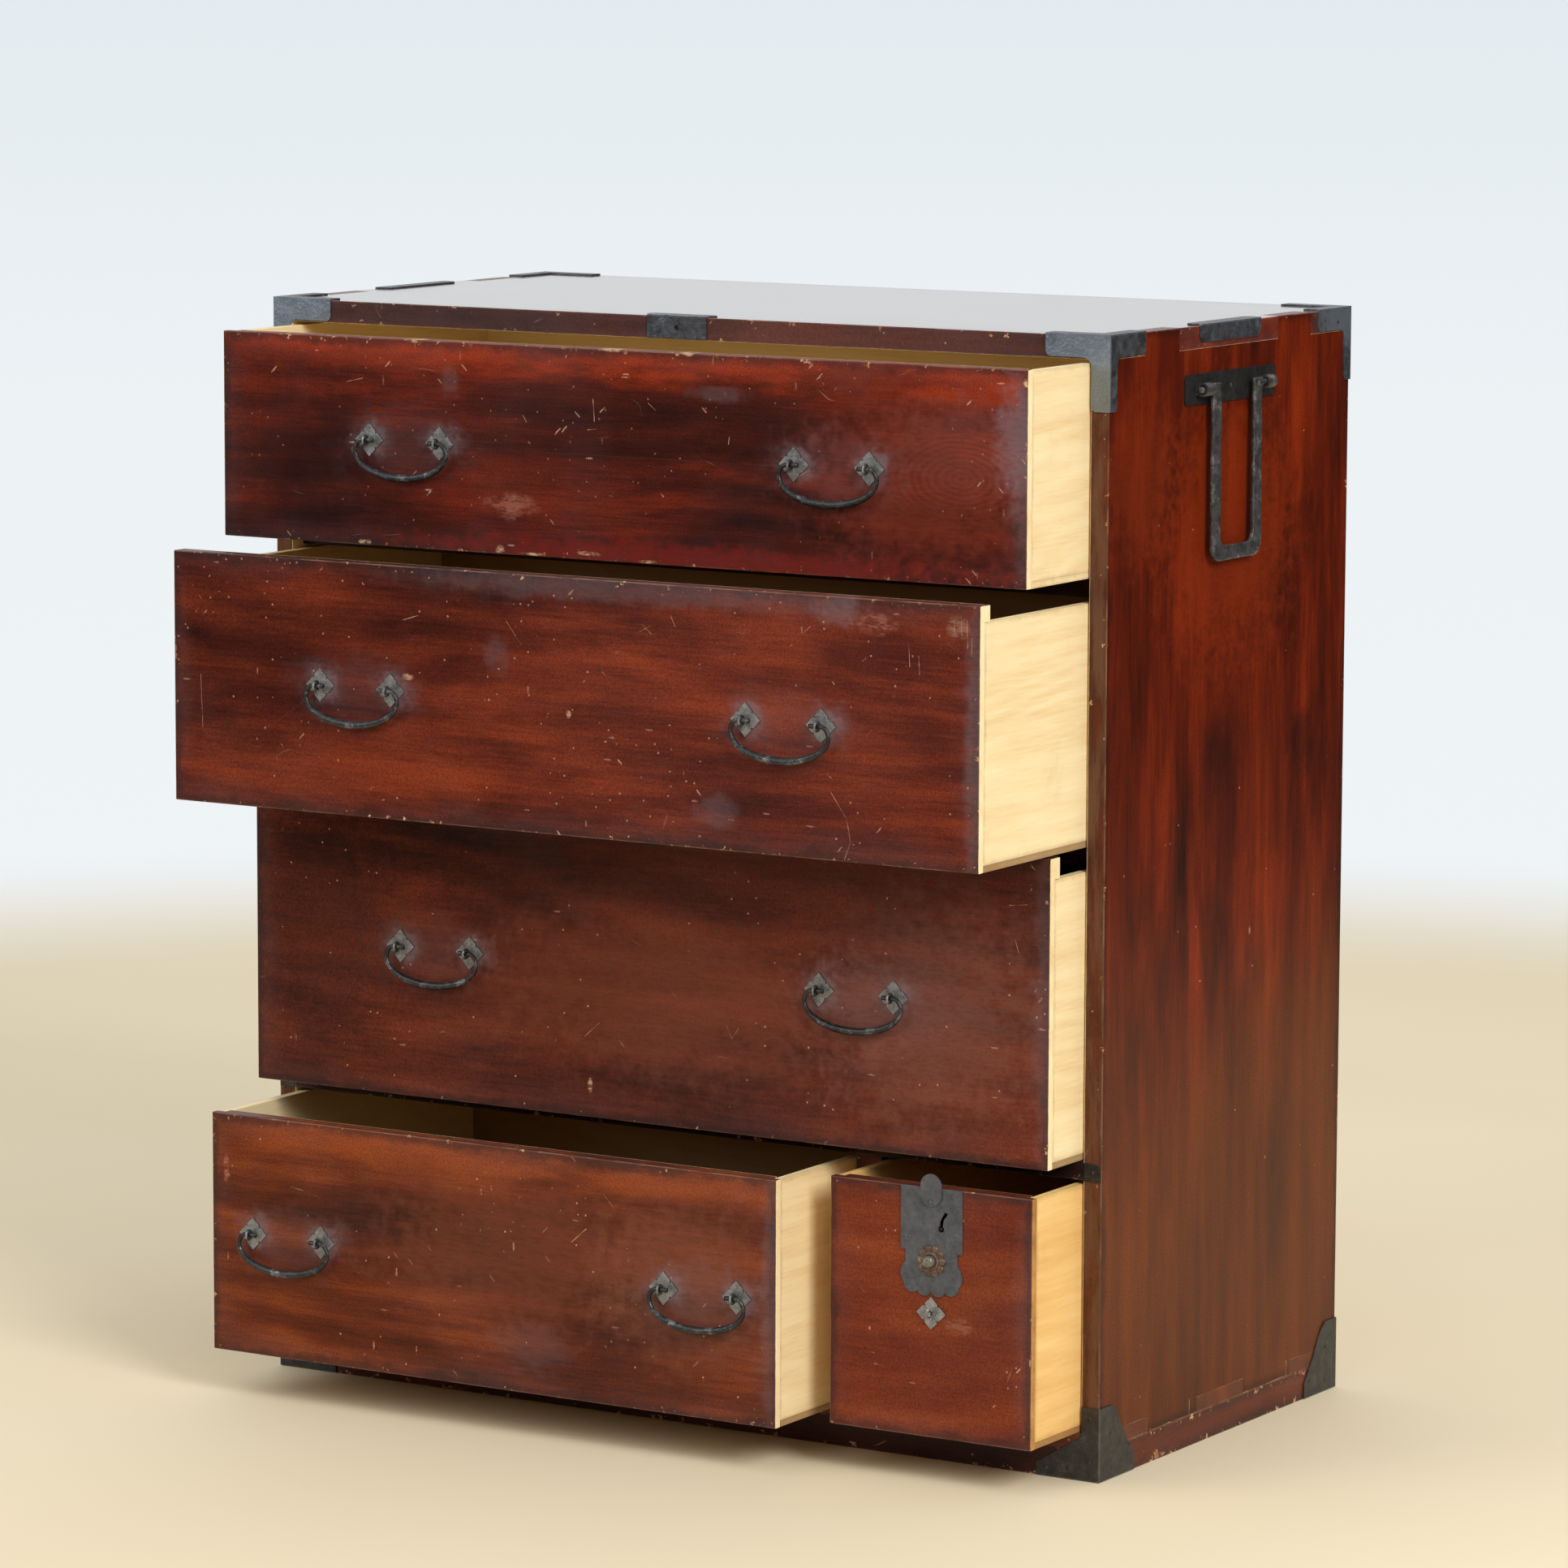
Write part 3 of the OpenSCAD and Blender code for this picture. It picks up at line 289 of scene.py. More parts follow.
def make_spot_group():
    """A soft ellipse about a place: one minus the scaled distance, roughened by noise, as a smooth step. Broken is
    the share of it that fine streaks of a second noise rub through."""
    tree, w, given, out = shader_group("spot", "Point Place Reach", "Ragged Broken", "Mask")
    away = w.vector("DIVIDE", w.vector("SUBTRACT", given["Point"], given["Place"]), given["Reach"])
    rough = w.times(w.minus(w.noise(given["Point"], 70.0, 4.0, 0.7), 0.5), given["Ragged"])
    soft = w.remap(w.plus(w.vector("LENGTH", away), rough), 0.35, 1.0, 1.0, 0.0)
    streaks = w.noise(w.stretch(given["Point"], (110.0, 110.0, 420.0)), 1.0, 3.0, 0.65)
    kept = w.minus(1.0, w.times(given["Broken"], w.remap(streaks, 0.40, 0.56, 1.0, 0.0)))
    w.plug(out["Mask"], w.times(soft, kept))
    return tree


def make_stroke_group():
    """A scratch: the distance to a straight line from one place to another, roughened, as a thin mask."""
    tree, w, given, out = shader_group("stroke", "Point Start Run", "Width", "Mask")
    away = w.vector("SUBTRACT", given["Point"], given["Start"])
    share = w.math("DIVIDE", w.vector("DOT_PRODUCT", away, given["Run"]),
                   w.vector("DOT_PRODUCT", given["Run"], given["Run"]), clamp=True)
    gap = w.vector("LENGTH", w.vector("SUBTRACT", away, w.vector("SCALE", given["Run"], share)))
    rough = w.times(w.noise(given["Point"], 420.0, 2.0), given["Width"])
    w.plug(out["Mask"], w.math("LESS_THAN", w.plus(gap, rough), given["Width"]))
    return tree


def make_forge_group():
    """Hammered iron: shallow dents from smooth cells, scale from fine noise, and rubbed patches."""
    tree, w, given, out = shader_group("forged", "Point", "Seed Dents", "Height Rubbed Rust Grit")
    moved = w.vector("ADD", given["Point"], w.vector("SCALE", (2.9, 1.3, 3.7), given["Seed"]))
    dents = w.add("TexVoronoi", {"Vector": moved, "Scale": given["Dents"], "Smoothness": 0.9}, feature="SMOOTH_F1")
    grit = w.noise(moved, 1300.0, 3.0, 0.6)
    mottle = w.noise(moved, 240.0, 4.0, 0.65)
    w.plug(out["Grit"], grit)
    fine = w.plus(w.times(mottle, 0.5), w.times(grit, 0.16))
    w.plug(out["Height"], w.plus(w.times(dents.outputs["Distance"], 0.55), fine))
    w.plug(out["Rubbed"], w.times(w.remap(w.noise(moved, 60.0, 4.0, 0.7), 0.5, 0.72), w.remap(grit, 0.35, 0.65)))
    w.plug(out["Rust"], w.remap(w.noise(moved, 42.0, 5.0, 0.7, 0.4), 0.54, 0.74))
    return tree


ARRIS, TIMBER, SCUFFS = make_arris_group(), make_timber_group(), make_scuff_group()
SPOT, STROKE, FORGED = make_spot_group(), make_stroke_group(), make_forge_group()


# ---- materials

ALONG_X, ALONG_Y, ALONG_Z = (0, 0, 0), (0, 0, math.pi / 2), (0, math.pi / 2, 0)
RAW_WOOD = ((232, 201, 148), (242, 219, 170), (247, 229, 185))
# Whitish tints of hazy bloom, used also as painted sheen where light falls on the fronts.
HAZE_AND_SHEEN_TINT, BLUE_HAZE_AND_SHEEN = (112, 94, 98), (136, 122, 130)
CHIP_TINT, PALE_CHIP = (204, 160, 128), (226, 186, 146)
# The last tint here is for the bloom near the edges, which also serves as painted sheen.
STAIN_AND_SHADE_TINT, RIM_TINT, BLOOM_AND_SHEEN_TINT = (30, 11, 9), (24, 10, 8), (122, 104, 106)
# Where the middle tone stands in the wood's figure, and the reach below which a mark is worn through, in metres.
MIDDLE_TONE, SMALL_MARK = 0.505, 0.06


def begin_material(name):
    """A new material with a Principled shader: (material, wiring, shader, object coordinates)."""
    material = bpy.data.materials.new(name)
    material.use_nodes = True
    w = Wiring(material.node_tree)
    shader = material.node_tree.nodes["Principled BSDF"]
    return material, w, shader, w.add("TexCoord").outputs["Object"]


def set_bump(w, shader, height, strength, distance):
    """A height over the surface as small relief."""
    bump = w.add("Bump", {"Height": height, "Strength": strength, "Distance": distance})
    w.plug(shader.inputs["Normal"], bump.outputs[0])


def middle_and_half(box):
    """The centre and the half size of a box given by two corners."""
    low, high = np.array(box[0]), np.array(box[1])
    return tuple((low + high) / 2), tuple((high - low) / 2)


def stain_ramp(w, figure, tones, contrast):
    """The wood's figure as a colour: the first tone where it is low, the second at its middle, the third above."""
    return w.ramp(figure, [(MIDDLE_TONE - 0.13 / contrast, tones[0]), (MIDDLE_TONE, tones[1]),
                           (MIDDLE_TONE + 0.15 / contrast, tones[2])])


def spot_mask(w, point, place, reach, ragged, broken=0.0):
    """The mask of one soft spot."""
    return w.call(SPOT, Point=point, Place=place, Reach=reach, Ragged=ragged, Broken=broken)[0]


def wear_arris(w, point, edge, wear, colour):
    """Lacquer rubbed thin and bitten away along the arrises: the new colour, and the mask of the wood laid bare."""
    rubbed = w.times(w.remap(edge, 0.0005, 0.0014, 1.0, 0.0),
                     w.remap(w.noise(point, 30.0, 3.0), 0.38, 0.62, 0.03, 0.34))
    colour = w.mix(rubbed, colour, rgb((172, 126, 104)))
    ragged = w.centred(w.noise(point, 330.0, 4.0, 0.75), 0.0060)
    bite = w.remap(w.noise(point, 88.0, 4.0, 0.75), 0.66 - 0.09 * wear, 0.74 - 0.09 * wear)
    reach = w.plus(w.times(bite, 0.0046), 0.0006)
    near = w.remap(w.minus(w.plus(edge, ragged), reach), -0.0004, 0.0003, 1.0, 0.0)
    bare = w.times(near, w.plus(w.times(bite, 0.85), 0.05 * wear), clamp=True)
    chip = w.mix(w.remap(w.noise(point, 46.0), 0.4, 0.6), rgb((158, 108, 84)), rgb((218, 176, 132)))
    return w.mix(bare, colour, chip), bare


def lacquer(name, box, along, tones, seed, bands=170.0, lower_tones=None, raw_sides=(), top_band=None,
            front_edge=None, wear=1.0, lines=0.13, pits=0.05, haze=0.03, contrast=1.0, gloss=0.16, spots=(),
            stains=(), strokes=(), ring=None, end_tones=None, shiny_top=None, rim=0.0, raw_tones=RAW_WOOD,
            streaks=0.20, fine=1.0):
    """Old clear lacquer over stained wood. raw_sides are (axis, limit, sign): past each plane the wood is bare.
    spots are worn places, hazy bloom with painted sheen, and patches of painted light (centre, reach, colour,
    strength), dark places are stained places and painted shade (centre, reach, strength), strokes are scratches
    (start, run, width, colour), and ring is the (centre, reach) of a round figure in the wood.
    lower_tones take over towards the floor, top_band colours the upper edge, front_edge the front faces, end_tones
    both ends across X, and rim darkens the border. Above the height shiny_top there is a clear coat, and fine narrows
    the figure across its grain."""
    material, w, shader, point = begin_material(name)
    axes = w.split(point)
    x, y, height = axes
    centre, half = middle_and_half(box)
    left, top = box[0][0], box[1][2]
    turned = w.add("Mapping", {"Vector": point, "Rotation": along}).outputs[0]
    wood = w.call(TIMBER, Point=w.stretch(turned, (1.0, fine, fine)), Seed=seed, Bands=bands / fine)
    scuffs = w.call(SCUFFS, Point=turned, Seed=seed + 0.7, Lines=lines, Pits=pits)
    edge = w.call(ARRIS, Point=point, Centre=centre, Half=half)[0]
    figure = w.plus(w.times(wood["Cloud"], 0.79 - streaks), w.times(wood["Band"], 0.05))
    figure = w.plus(w.plus(figure, w.times(wood["Fibre"], 0.19)), w.times(wood["Streak"], streaks))
    colour = stain_ramp(w, figure, tones, contrast)
    if ring:
        away = w.vector("LENGTH", w.vector("DIVIDE", w.vector("SUBTRACT", point, ring[0]), ring[1]))
        rings = w.wave(w.plus(w.times(away, 76.0), w.times(w.noise(point, 22.0), 9.0)))
        inside = w.remap(away, 0.45, 1.0, 1.0, 0.0)
        colour = w.mix(inside, colour, w.remap(rings, 0.1, 0.9, 0.66, 1.20), "MULTIPLY")
    if lower_tones:
        wander = w.centred(w.noise(point, 2.4, 3.0), 0.5)
        other = stain_ramp(w, figure, lower_tones, contrast)
        colour = w.mix(w.remap(w.plus(height, wander), 0.20, 0.50), other, colour)
    if end_tones:
        far = w.math("GREATER_THAN", w.absolute(x), CASE_W / 2 - 0.0008)
        colour = w.mix(far, colour, stain_ramp(w, figure, end_tones, contrast))
    if top_band:
        ripple = w.noise(w.stretch(point, (9, 9, 40)), 1.0, 4.0, 0.65)
        upper = w.times(w.remap(w.plus(height, w.times(ripple, 0.030)), top - 0.022, top - 0.002),
                        w.remap(ripple, 0.36, 0.60, 0.35, 0.85))
        upper = w.times(upper, w.remap(x, left + 0.01, left + 0.09, 0.3, 1.0))
        colour = w.mix(upper, colour, rgb(top_band))
    for place, reach, strength in stains:
        colour = w.mix(w.times(spot_mask(w, point, place, reach, 1.0), strength), colour, rgb(STAIN_AND_SHADE_TINT))
    if rim:
        dull = w.plus(edge, w.centred(w.noise(point, 34.0, 4.0, 0.7), 0.022))
        colour = w.mix(w.times(w.remap(dull, 0.0015, 0.011, 1.0, 0.0), rim), colour, rgb(RIM_TINT))
    grit = w.remap(w.noise(point, 560.0, 3.0, 0.7), 0.28, 0.72, 0.68, 1.32)
    colour = w.mix(1.0, colour, grit, "MULTIPLY")
    # Hazy bloom in blotches and within a few centimetres of the edges, also painted sheen where light catches the
    # lacquer; it roughens the lacquer as well.
    near_edge = w.remap(w.plus(edge, w.times(w.noise(point, 9.0, 4.0, 0.65), 0.06)), 0.026, 0.062, 1.0, 0.0)
    bloom_and_sheen = w.plus(w.times(scuffs["Haze"], haze), w.times(near_edge, haze * 2.5))
    colour = w.mix(bloom_and_sheen, colour, rgb(BLOOM_AND_SHEEN_TINT))
    for place, reach, tint, strength in spots:
        worn_through = tint not in (HAZE_AND_SHEEN_TINT, BLUE_HAZE_AND_SHEEN) and max(reach[:2]) < SMALL_MARK
        ragged, broken = (1.8, 0.9) if worn_through else (1.3, 0.25)
        colour = w.mix(w.times(spot_mask(w, point, place, reach, ragged, broken), strength), colour, rgb(tint))
    if front_edge:
        rubbed = w.remap(w.noise(w.stretch(point, (60, 60, 9)), 1.0, 5.0, 0.7), 0.40, 0.62, 0.25, 0.85)
        colour = w.mix(w.times(w.math("LESS_THAN", y, FRONT_Y + 0.0004), rubbed), colour, rgb(front_edge))
    scratch = w.larger(w.times(scuffs["Lines"], 0.6), w.times(scuffs["Pits"], 0.75))
    colour = w.mix(scratch, colour, rgb((196, 150, 128)))
    for start, run, width, tint in strokes:
        mask = w.call(STROKE, Point=point, Start=start, Run=run, Width=width)[0]
        colour = w.mix(w.times(mask, w.remap(w.noise(point, 90.0, 2.0), 0.35, 0.6, 0.15, 0.7)), colour, rgb(tint))
    colour, arris = wear_arris(w, point, edge, wear, colour)
    rough = w.plus(w.times(wood["Cloud"], 0.10), w.times(bloom_and_sheen, 0.9))
    rough = w.plus(w.plus(rough, 0.25), w.times(w.larger(arris, scratch), 0.25))
    for axis, limit, sign in raw_sides:
        past = w.times(w.minus(axes["XYZ".index(axis)], limit), sign)
        bare = w.remap(w.plus(past, w.times(w.noise(point, 120.0), 0.0004)), 0.0, 0.0006)
        colour = w.mix(bare, colour, w.ramp(figure, list(zip((0.4, 0.5, 0.6), raw_tones))))
        rough = w.plus(w.times(bare, 0.3), rough)
    w.fill(shader, {"Base Color": colour, "Roughness": rough, "Specular IOR Level": gloss, "Coat Roughness": 0.10})
    if shiny_top:
        w.plug(shader.inputs["Coat Weight"], w.math("GREATER_THAN", height, shiny_top))
    dents = w.times(w.noise(point, 26.0, 3.0, 0.6), 0.7)
    relief = w.minus(w.plus(dents, w.times(wood["Fibre"], 0.35)), w.times(w.larger(scratch, arris), 1.2))
    set_bump(w, shader, relief, 0.25, 0.0005)
    return material


def bare_wood(name, box, along, seed, tones=RAW_WOOD, seams=()):
    """Unfinished softwood: pale bands, long fibres, a few small knots and hand grime along the edges. seams are
    places across X where boards meet."""
    material, w, shader, point = begin_material(name)
    centre, half = middle_and_half(box)
    turned = w.add("Mapping", {"Vector": point, "Rotation": along}).outputs[0]
    wood = w.call(TIMBER, Point=turned, Seed=seed, Bands=260.0)
    figure = w.plus(w.times(wood["Band"], 0.06), w.times(wood["Cloud"], 0.40))
    figure = w.plus(figure, w.times(w.plus(wood["Fibre"], wood["Streak"]), 0.28))
    colour = w.ramp(figure, list(zip((0.36, 0.50, 0.64), tones)))
    cell = w.cells(w.stretch(w.vector("ADD", turned, (seed, 0.0, seed)), (0.45, 1, 1)), 13.0)
    ring = w.plus(cell["Distance"], w.times(w.noise(point, 160.0), 0.03))
    knot = w.times(w.remap(ring, 0.025, 0.060, 1.0, 0.0), w.math("LESS_THAN", w.split(cell["Color"])[0], 0.04))
    colour = w.mix(w.times(knot, 0.8), colour, rgb((92, 58, 30)))
    edge = w.call(ARRIS, Point=point, Centre=centre, Half=half)[0]
    dirt = w.remap(w.plus(edge, w.times(w.noise(point, 40.0, 4.0, 0.7), 0.010)), 0.004, 0.0105, 1.0, 0.0)
    smudge = w.remap(w.noise(point, 11.0, 5.0, 0.7, 0.6), 0.55, 0.80)
    colour = w.mix(w.times(w.larger(dirt, w.times(smudge, 0.4)), 0.30), colour, rgb((128, 92, 50)))
    for place in seams:
        gap = w.absolute(w.minus(w.split(point)[0], place))
        colour = w.mix(w.remap(gap, 0.0004, 0.0022, 0.85, 0.0), colour, rgb((52, 36, 20)))
    w.fill(shader, {"Base Color": colour, "Roughness": w.plus(w.times(wood["Fibre"], 0.2), 0.50),
                    "Specular IOR Level": 0.35})
    set_bump(w, shader, w.plus(wood["Fibre"], w.times(wood["Band"], 0.3)), 0.30, 0.0005)
    return material


def iron(name, seed, dent_size=130.0, dark=(30, 30, 32), worn=(96, 94, 94), rust=0.25, rubbed=0.55, rough=0.46,
         relief=0.5, rust_tint=(84, 58, 42), spots=(), worn_box=None, patches=1.0, painted_shade_on_sides=False):
    """Blackened iron: hammer dents, grit, rubbed grey patches and some brown rust. spots are places painted with a
    highlight (centre, reach, strength), and along the edges of worn_box it is rubbed bright. With the flag for
    painted shade on, the surfaces that don't face the front or the back are painted nearly black, as shade."""
    material, w, shader, point = begin_material(name)
    forged = w.call(FORGED, Point=point, Seed=seed, Dents=dent_size)
    patchy = w.plus(w.times(forged["Grit"], 0.5), w.times(w.noise(point, 95.0, 4.0, 0.7), 0.5))
    deep, light = ([share * c for c in dark] for share in (1 - 0.28 * patches, 1 + 0.42 * patches))
    colour = w.mix(w.remap(patchy, 0.36, 0.62), rgb(deep), rgb(light))
    colour = w.mix(w.times(forged["Rust"], rust), colour, rgb(rust_tint))
    shine = w.times(forged["Rubbed"], rubbed)
    # Painted highlights at the given spots.
    for place, reach, strength in spots:
        bright = w.plus(w.times(forged["Grit"], 1.2), strength - 0.6)
        shine = w.larger(shine, w.times(spot_mask(w, point, place, reach, 1.1), bright), clamp=True)
    if worn_box:
        edge = w.call(ARRIS, Point=point, Centre=worn_box[0], Half=worn_box[1])[0]
        frayed = w.plus(edge, w.times(w.noise(point, 240.0, 3.0, 0.7), 0.0034))
        shine = w.larger(shine, w.times(w.remap(frayed, 0.0014, 0.0038, 1.0, 0.0), 0.8))
    colour = w.mix(shine, colour, rgb(worn))
    # Painted shade: faces turned away from the front and the back are darkened nearly to black.
    if painted_shade_on_sides:
        facing = w.absolute(w.split(w.add("TexCoord").outputs["Normal"])[1])
        colour = w.mix(w.remap(facing, 0.35, 0.9, 0.8, 0.0), colour, rgb((26, 25, 25)))
    w.fill(shader, {"Base Color": colour, "Metallic": w.plus(w.times(shine, 0.5), 0.30), "Specular IOR Level": 0.5,
                    "Roughness": w.plus(w.times(forged["Rust"], 0.25 * rust), w.minus(rough, w.times(shine, 0.08)))})
    set_bump(w, shader, forged["Height"], relief, 0.0009)
    return material


def backdrop():
    """A plain pale floor that fades out at its rim, and an even pale sky that is cooler higher up. What the chest
    reflects is a dim room near the horizon, except behind it."""
    rings, spokes, reach = 6, 96, 4.2
    radius = np.linspace(0.0, reach, rings + 1)[1:]
    angle = np.arange(spokes) * 2 * np.pi / spokes
    points = [np.outer(radius, np.cos(angle)), np.outer(radius, np.sin(angle)), np.zeros((rings, spokes))]
    points = np.concatenate([[[0, 0, 0]], np.stack(points, -1).reshape(-1, 3)])
    fan = np.stack([np.zeros(spokes, int), 1 + np.arange(spokes), 1 + (np.arange(spokes) + 1) % spokes], 1)
    faces = fan.tolist()
    for ring in range(rings - 1):
        a, b = 1 + ring * spokes, 1 + (ring + 1) * spokes
        j = np.arange(spokes)
        faces += np.stack([a + j, b + j, b + (j + 1) % spokes, a + (j + 1) % spokes], 1).tolist()
    mesh = bpy.data.meshes.new("floor")
    mesh.from_pydata(points.tolist(), [], faces)
    floor = bpy.data.objects.new("floor", mesh)
    bpy.context.scene.collection.objects.link(floor)
    material, w, shader, point = begin_material("pale_floor")
    w.fill(shader, {
        "Base Color": w.mix(w.noise(point, 1.3, 3.0), rgb((224, 209, 176)), rgb((232, 219, 190))), "Roughness": 0.7,
        "Specular IOR Level": 0.3, "Alpha": w.remap(w.vector("LENGTH", point), 2.45, 3.6, 1.0, 0.0)})
    mesh.materials.append(material)
    world = bpy.data.worlds.new("studio")
    world.use_nodes = True
    w = Wiring(world.node_tree)
    way = w.split(w.vector("NORMALIZE", w.add("TexCoord").outputs["Generated"]))
    sky = w.ramp(w.plus(w.times(way["Z"], 0.5), 0.5), [
        (0.385, (228, 218, 194)), (0.412, (246, 250, 253)), (0.46, (242, 247, 250)), (0.50, (228, 238, 243)),
        (0.56, (248, 248, 248))])
    behind = w.plus(w.times(way["X"], -0.523), w.times(way["Y"], 0.852))
    lit = w.larger(w.remap(behind, 0.80, 0.96), w.remap(way["Z"], 0.15, 0.55))
    lit = w.larger(lit, w.add("LightPath").outputs["Is Camera Ray"])
    background = world.node_tree.nodes["Background"]
    w.fill(background, {"Color": w.mix(lit, rgb((64, 58, 54)), sky), "Strength": 0.95})
    bpy.context.scene.world = world


# ---- surfaces

def grid_piece(name, points, body, material, replaced, capped=True):
    """A mesh from a rows by columns grid of points. Columns close round; capped ends are closed with a pole each."""
    rows, columns = points.shape[:2]
    k, j = np.meshgrid(np.arange(rows - 1), np.arange(columns), indexing="ij")
    m = (j + 1) % columns
    quads = np.stack([k * columns + j, k * columns + m, (k + 1) * columns + m, (k + 1) * columns + j], -1)
    faces, spots = quads.reshape(-1, 4).tolist(), points.reshape(-1, 3)
    if capped:
        j = np.arange(columns)
        m = (j + 1) % columns
        first, last = len(spots), len(spots) + 1
        spots = np.concatenate([spots, [points[0].mean(0)], [points[-1].mean(0)]])
        faces += np.stack([np.full(columns, first), m, j], 1).tolist()
        faces += np.stack([np.full(columns, last), (rows - 1) * columns + j, (rows - 1) * columns + m], 1).tolist()
    return finish_piece(name, spots, faces, body, material, replaced)


def finish_piece(name, spots, faces, body, material, replaced=()):
    """Makes the object, gives it its material and its body, and hides the CAD node it stands for."""
    mesh = bpy.data.meshes.new(name)
    mesh.from_pydata(np.asarray(spots).tolist(), [], faces)
    mesh.polygons.foreach_set("use_smooth", [True] * len(mesh.polygons))
    mesh.materials.append(material)
    piece = bpy.data.objects.new(name, mesh)
    bpy.context.scene.collection.objects.link(piece)
    if replaced:
        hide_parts(*replaced)
    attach(piece, body)
    return piece


def bail_line():
    """Points of a bail's middle line, in millimetres from the middle between its eyes: straight pins, quarter
    ellipses that turn down, and half an ellipse for the bow. Also the bar's radius there, thickest at mid bow."""
    pin_in, bend_w, bend_h, half_w, drop, neck_r, bow_r = 31.0, 8.0, 10.0, 50.5, 33.5, 2.02, 3.7
    pin = np.stack([np.linspace(pin_in, half_w - bend_w, 8), np.zeros(8)], 1)[:-1]
    a = np.linspace(0, np.pi / 2, 14)
    bend = np.stack([half_w - bend_w * (1 - np.sin(a)), -bend_h * (1 - np.cos(a))], 1)[:-1]
    a = np.linspace(0, np.pi, 110)
    bow = np.stack([half_w * np.cos(a), -bend_h - (drop - bend_h) * np.sin(a)], 1)
    thick = neck_r + (bow_r - neck_r) * np.sin(a) ** 1.4
    line = np.concatenate([pin, bend, bow, (bend * [-1, 1])[::-1], (pin * [-1, 1])[::-1]])
    ends = np.concatenate([np.full(len(pin), PIN_R / MM), np.full(len(bend), neck_r)])
    return line, np.concatenate([ends, thick, ends[::-1]])


def hang_bail(n, side, material):
    """A forged bail: a ring of radius r carried along the bail's line, with the radius and the ring's shape wandering
    by a few hundredths as sums of sines, flattened a little where the hammer worked the bow."""
    line, radius = bail_line()
    step = np.gradient(line, axis=0)
    step /= np.linalg.norm(step, axis=1)[:, None]
    across = np.stack([-step[:, 1], step[:, 0]], 1)
    angle = np.arange(20) * 2 * np.pi / 20
    t = np.linspace(0, 1, len(line))[:, None]
    seed = n * 2.1 + (side == "left")
    lump = 1 + 0.035 * np.sin(61 * t + 3 * angle + seed) * np.sin(23 * t * seed + 2 * angle)
    lump = lump + 0.02 * np.sin(143 * t + seed)
    lump = 1 + (lump - 1) * np.clip((radius[:, None] - 2.0) / 0.8, 0, 1)
    r = radius[:, None] * np.minimum(lump, 1.04)
    out = r * np.cos(angle)
    x, z = line[:, :1] + across[:, :1] * out, line[:, 1:] + across[:, 1:] * out
    points = np.stack([x, r * np.sin(angle), z], -1) * MM + PULLS[n, side]
    name = "drawer_%d_bail_%s" % (n, side)
    return grid_piece("bail_%d_%s" % (n, side), points[:, ::-1], name, material, [name])


def dome_heads(name, heads, body, material, radius=1.9, rise=0.8):
    """Domed nail heads, uneven in size by a tenth. Each is a cap turned about its normal: at share s of the radius
    the height is rise times about the square root of 1 minus s squared, with a short skirt below."""
    share = np.array([0.0, 0.45, 0.8, 1.0, 1.0])
    height = np.array([1.0, 0.90, 0.60, 0.10, -0.3]) * rise
    sides = 10
    angle = np.arange(sides) * 2 * np.pi / sides
    spots, faces = [], []
    for number, (place, normal) in enumerate(heads):
        up = np.array(normal, float)
        side_way = unit(np.cross(up, [0.31, 0.52, 0.79]))
        other = np.cross(up, side_way)
        size = radius * (0.88 + 0.24 * ((number * 0.618) % 1))
        ring = np.outer(np.cos(angle), side_way) + np.outer(np.sin(angle), other)
        cap = size * share[1:, None, None] * ring + height[1:, None, None] * up
        start = len(spots)
        spots += (np.array(place) + np.concatenate([[height[0] * up], cap.reshape(-1, 3)]) * MM).tolist()
        j, m = np.arange(sides), (np.arange(sides) + 1) % sides
        faces += np.stack([np.full(sides, start), start + 1 + j, start + 1 + m], 1).tolist()
        for k in range(3):
            a = start + 1 + k * sides
            faces += np.stack([a + j, a + sides + j, a + sides + m, a + m], 1).tolist()
        faces.append((start + 1 + 3 * sides + j[::-1]).tolist())
    return finish_piece(name, spots, faces, body, material)


def flower_rosette(material):
    """The rosette: radius runs from its hole, over a round bead, to a rim that swells at each of ten petals. The
    height is an arch over the bead and one over the petals, lowered in the creases between them."""
    (x0, _, z0), (x1, y1, z1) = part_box("rosette")
    centre = np.array([(x0 + x1) / 2, y1, (z0 + z1) / 2])
    angle = np.arange(160) * 2 * np.pi / 160
    run = np.linspace(0, 1, 14)[:, None]
    petal = np.abs(np.cos(5 * angle))
    hole, bead, bead_w, petals_from = 2.7, 6.8, 1.7, 8.3
    rim = (x1 - x0) / MM / 2 * (0.80 + 0.198 * petal ** 0.6)
    r = hole + (rim - hole) * run
    crease = 0.12 + 0.88 * petal ** 0.8
    outer = np.clip((r - petals_from) / (rim - petals_from), 0, 1)
    height = np.where(r > petals_from, 0.55 + 1.5 * np.sqrt(np.maximum(0, 1 - (2 * outer - 1) ** 2)) * crease,
                      0.9 + 1.7 * np.clip(1 - ((r - bead) / bead_w) ** 2, 0, 1))
    height[0], height[-1] = 0.2, 0.2
    under = np.stack([r[::-1] * np.cos(angle), 0 * r, r[::-1] * np.sin(angle)], -1)
    top = np.stack([r * np.cos(angle), -height, r * np.sin(angle)], -1)
    points = np.concatenate([top, under, top[:1]]) * MM + centre
    return grid_piece("flower_rosette", points, "drawer_5", material, ["rosette"], capped=False)


# ---- dressing the chest

def dress(node, material, edge=0.0, segments=2):
    """Gives a CAD node its material and, where edge isn't zero, softens its edges by that width."""
    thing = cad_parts[node]
    for socket in thing.material_slots:
        socket.material = material
    if edge:
        weld = thing.modifiers.new("weld", "WELD")
        weld.merge_threshold = 1e-5
        soft = thing.modifiers.new("soft_edges", "BEVEL")
        soft.width, soft.segments, soft.limit_method = edge, segments, "ANGLE"
        soft.angle_limit = math.radians(30)
        soft.use_clamp_overlap = True
        soft.loop_slide = False


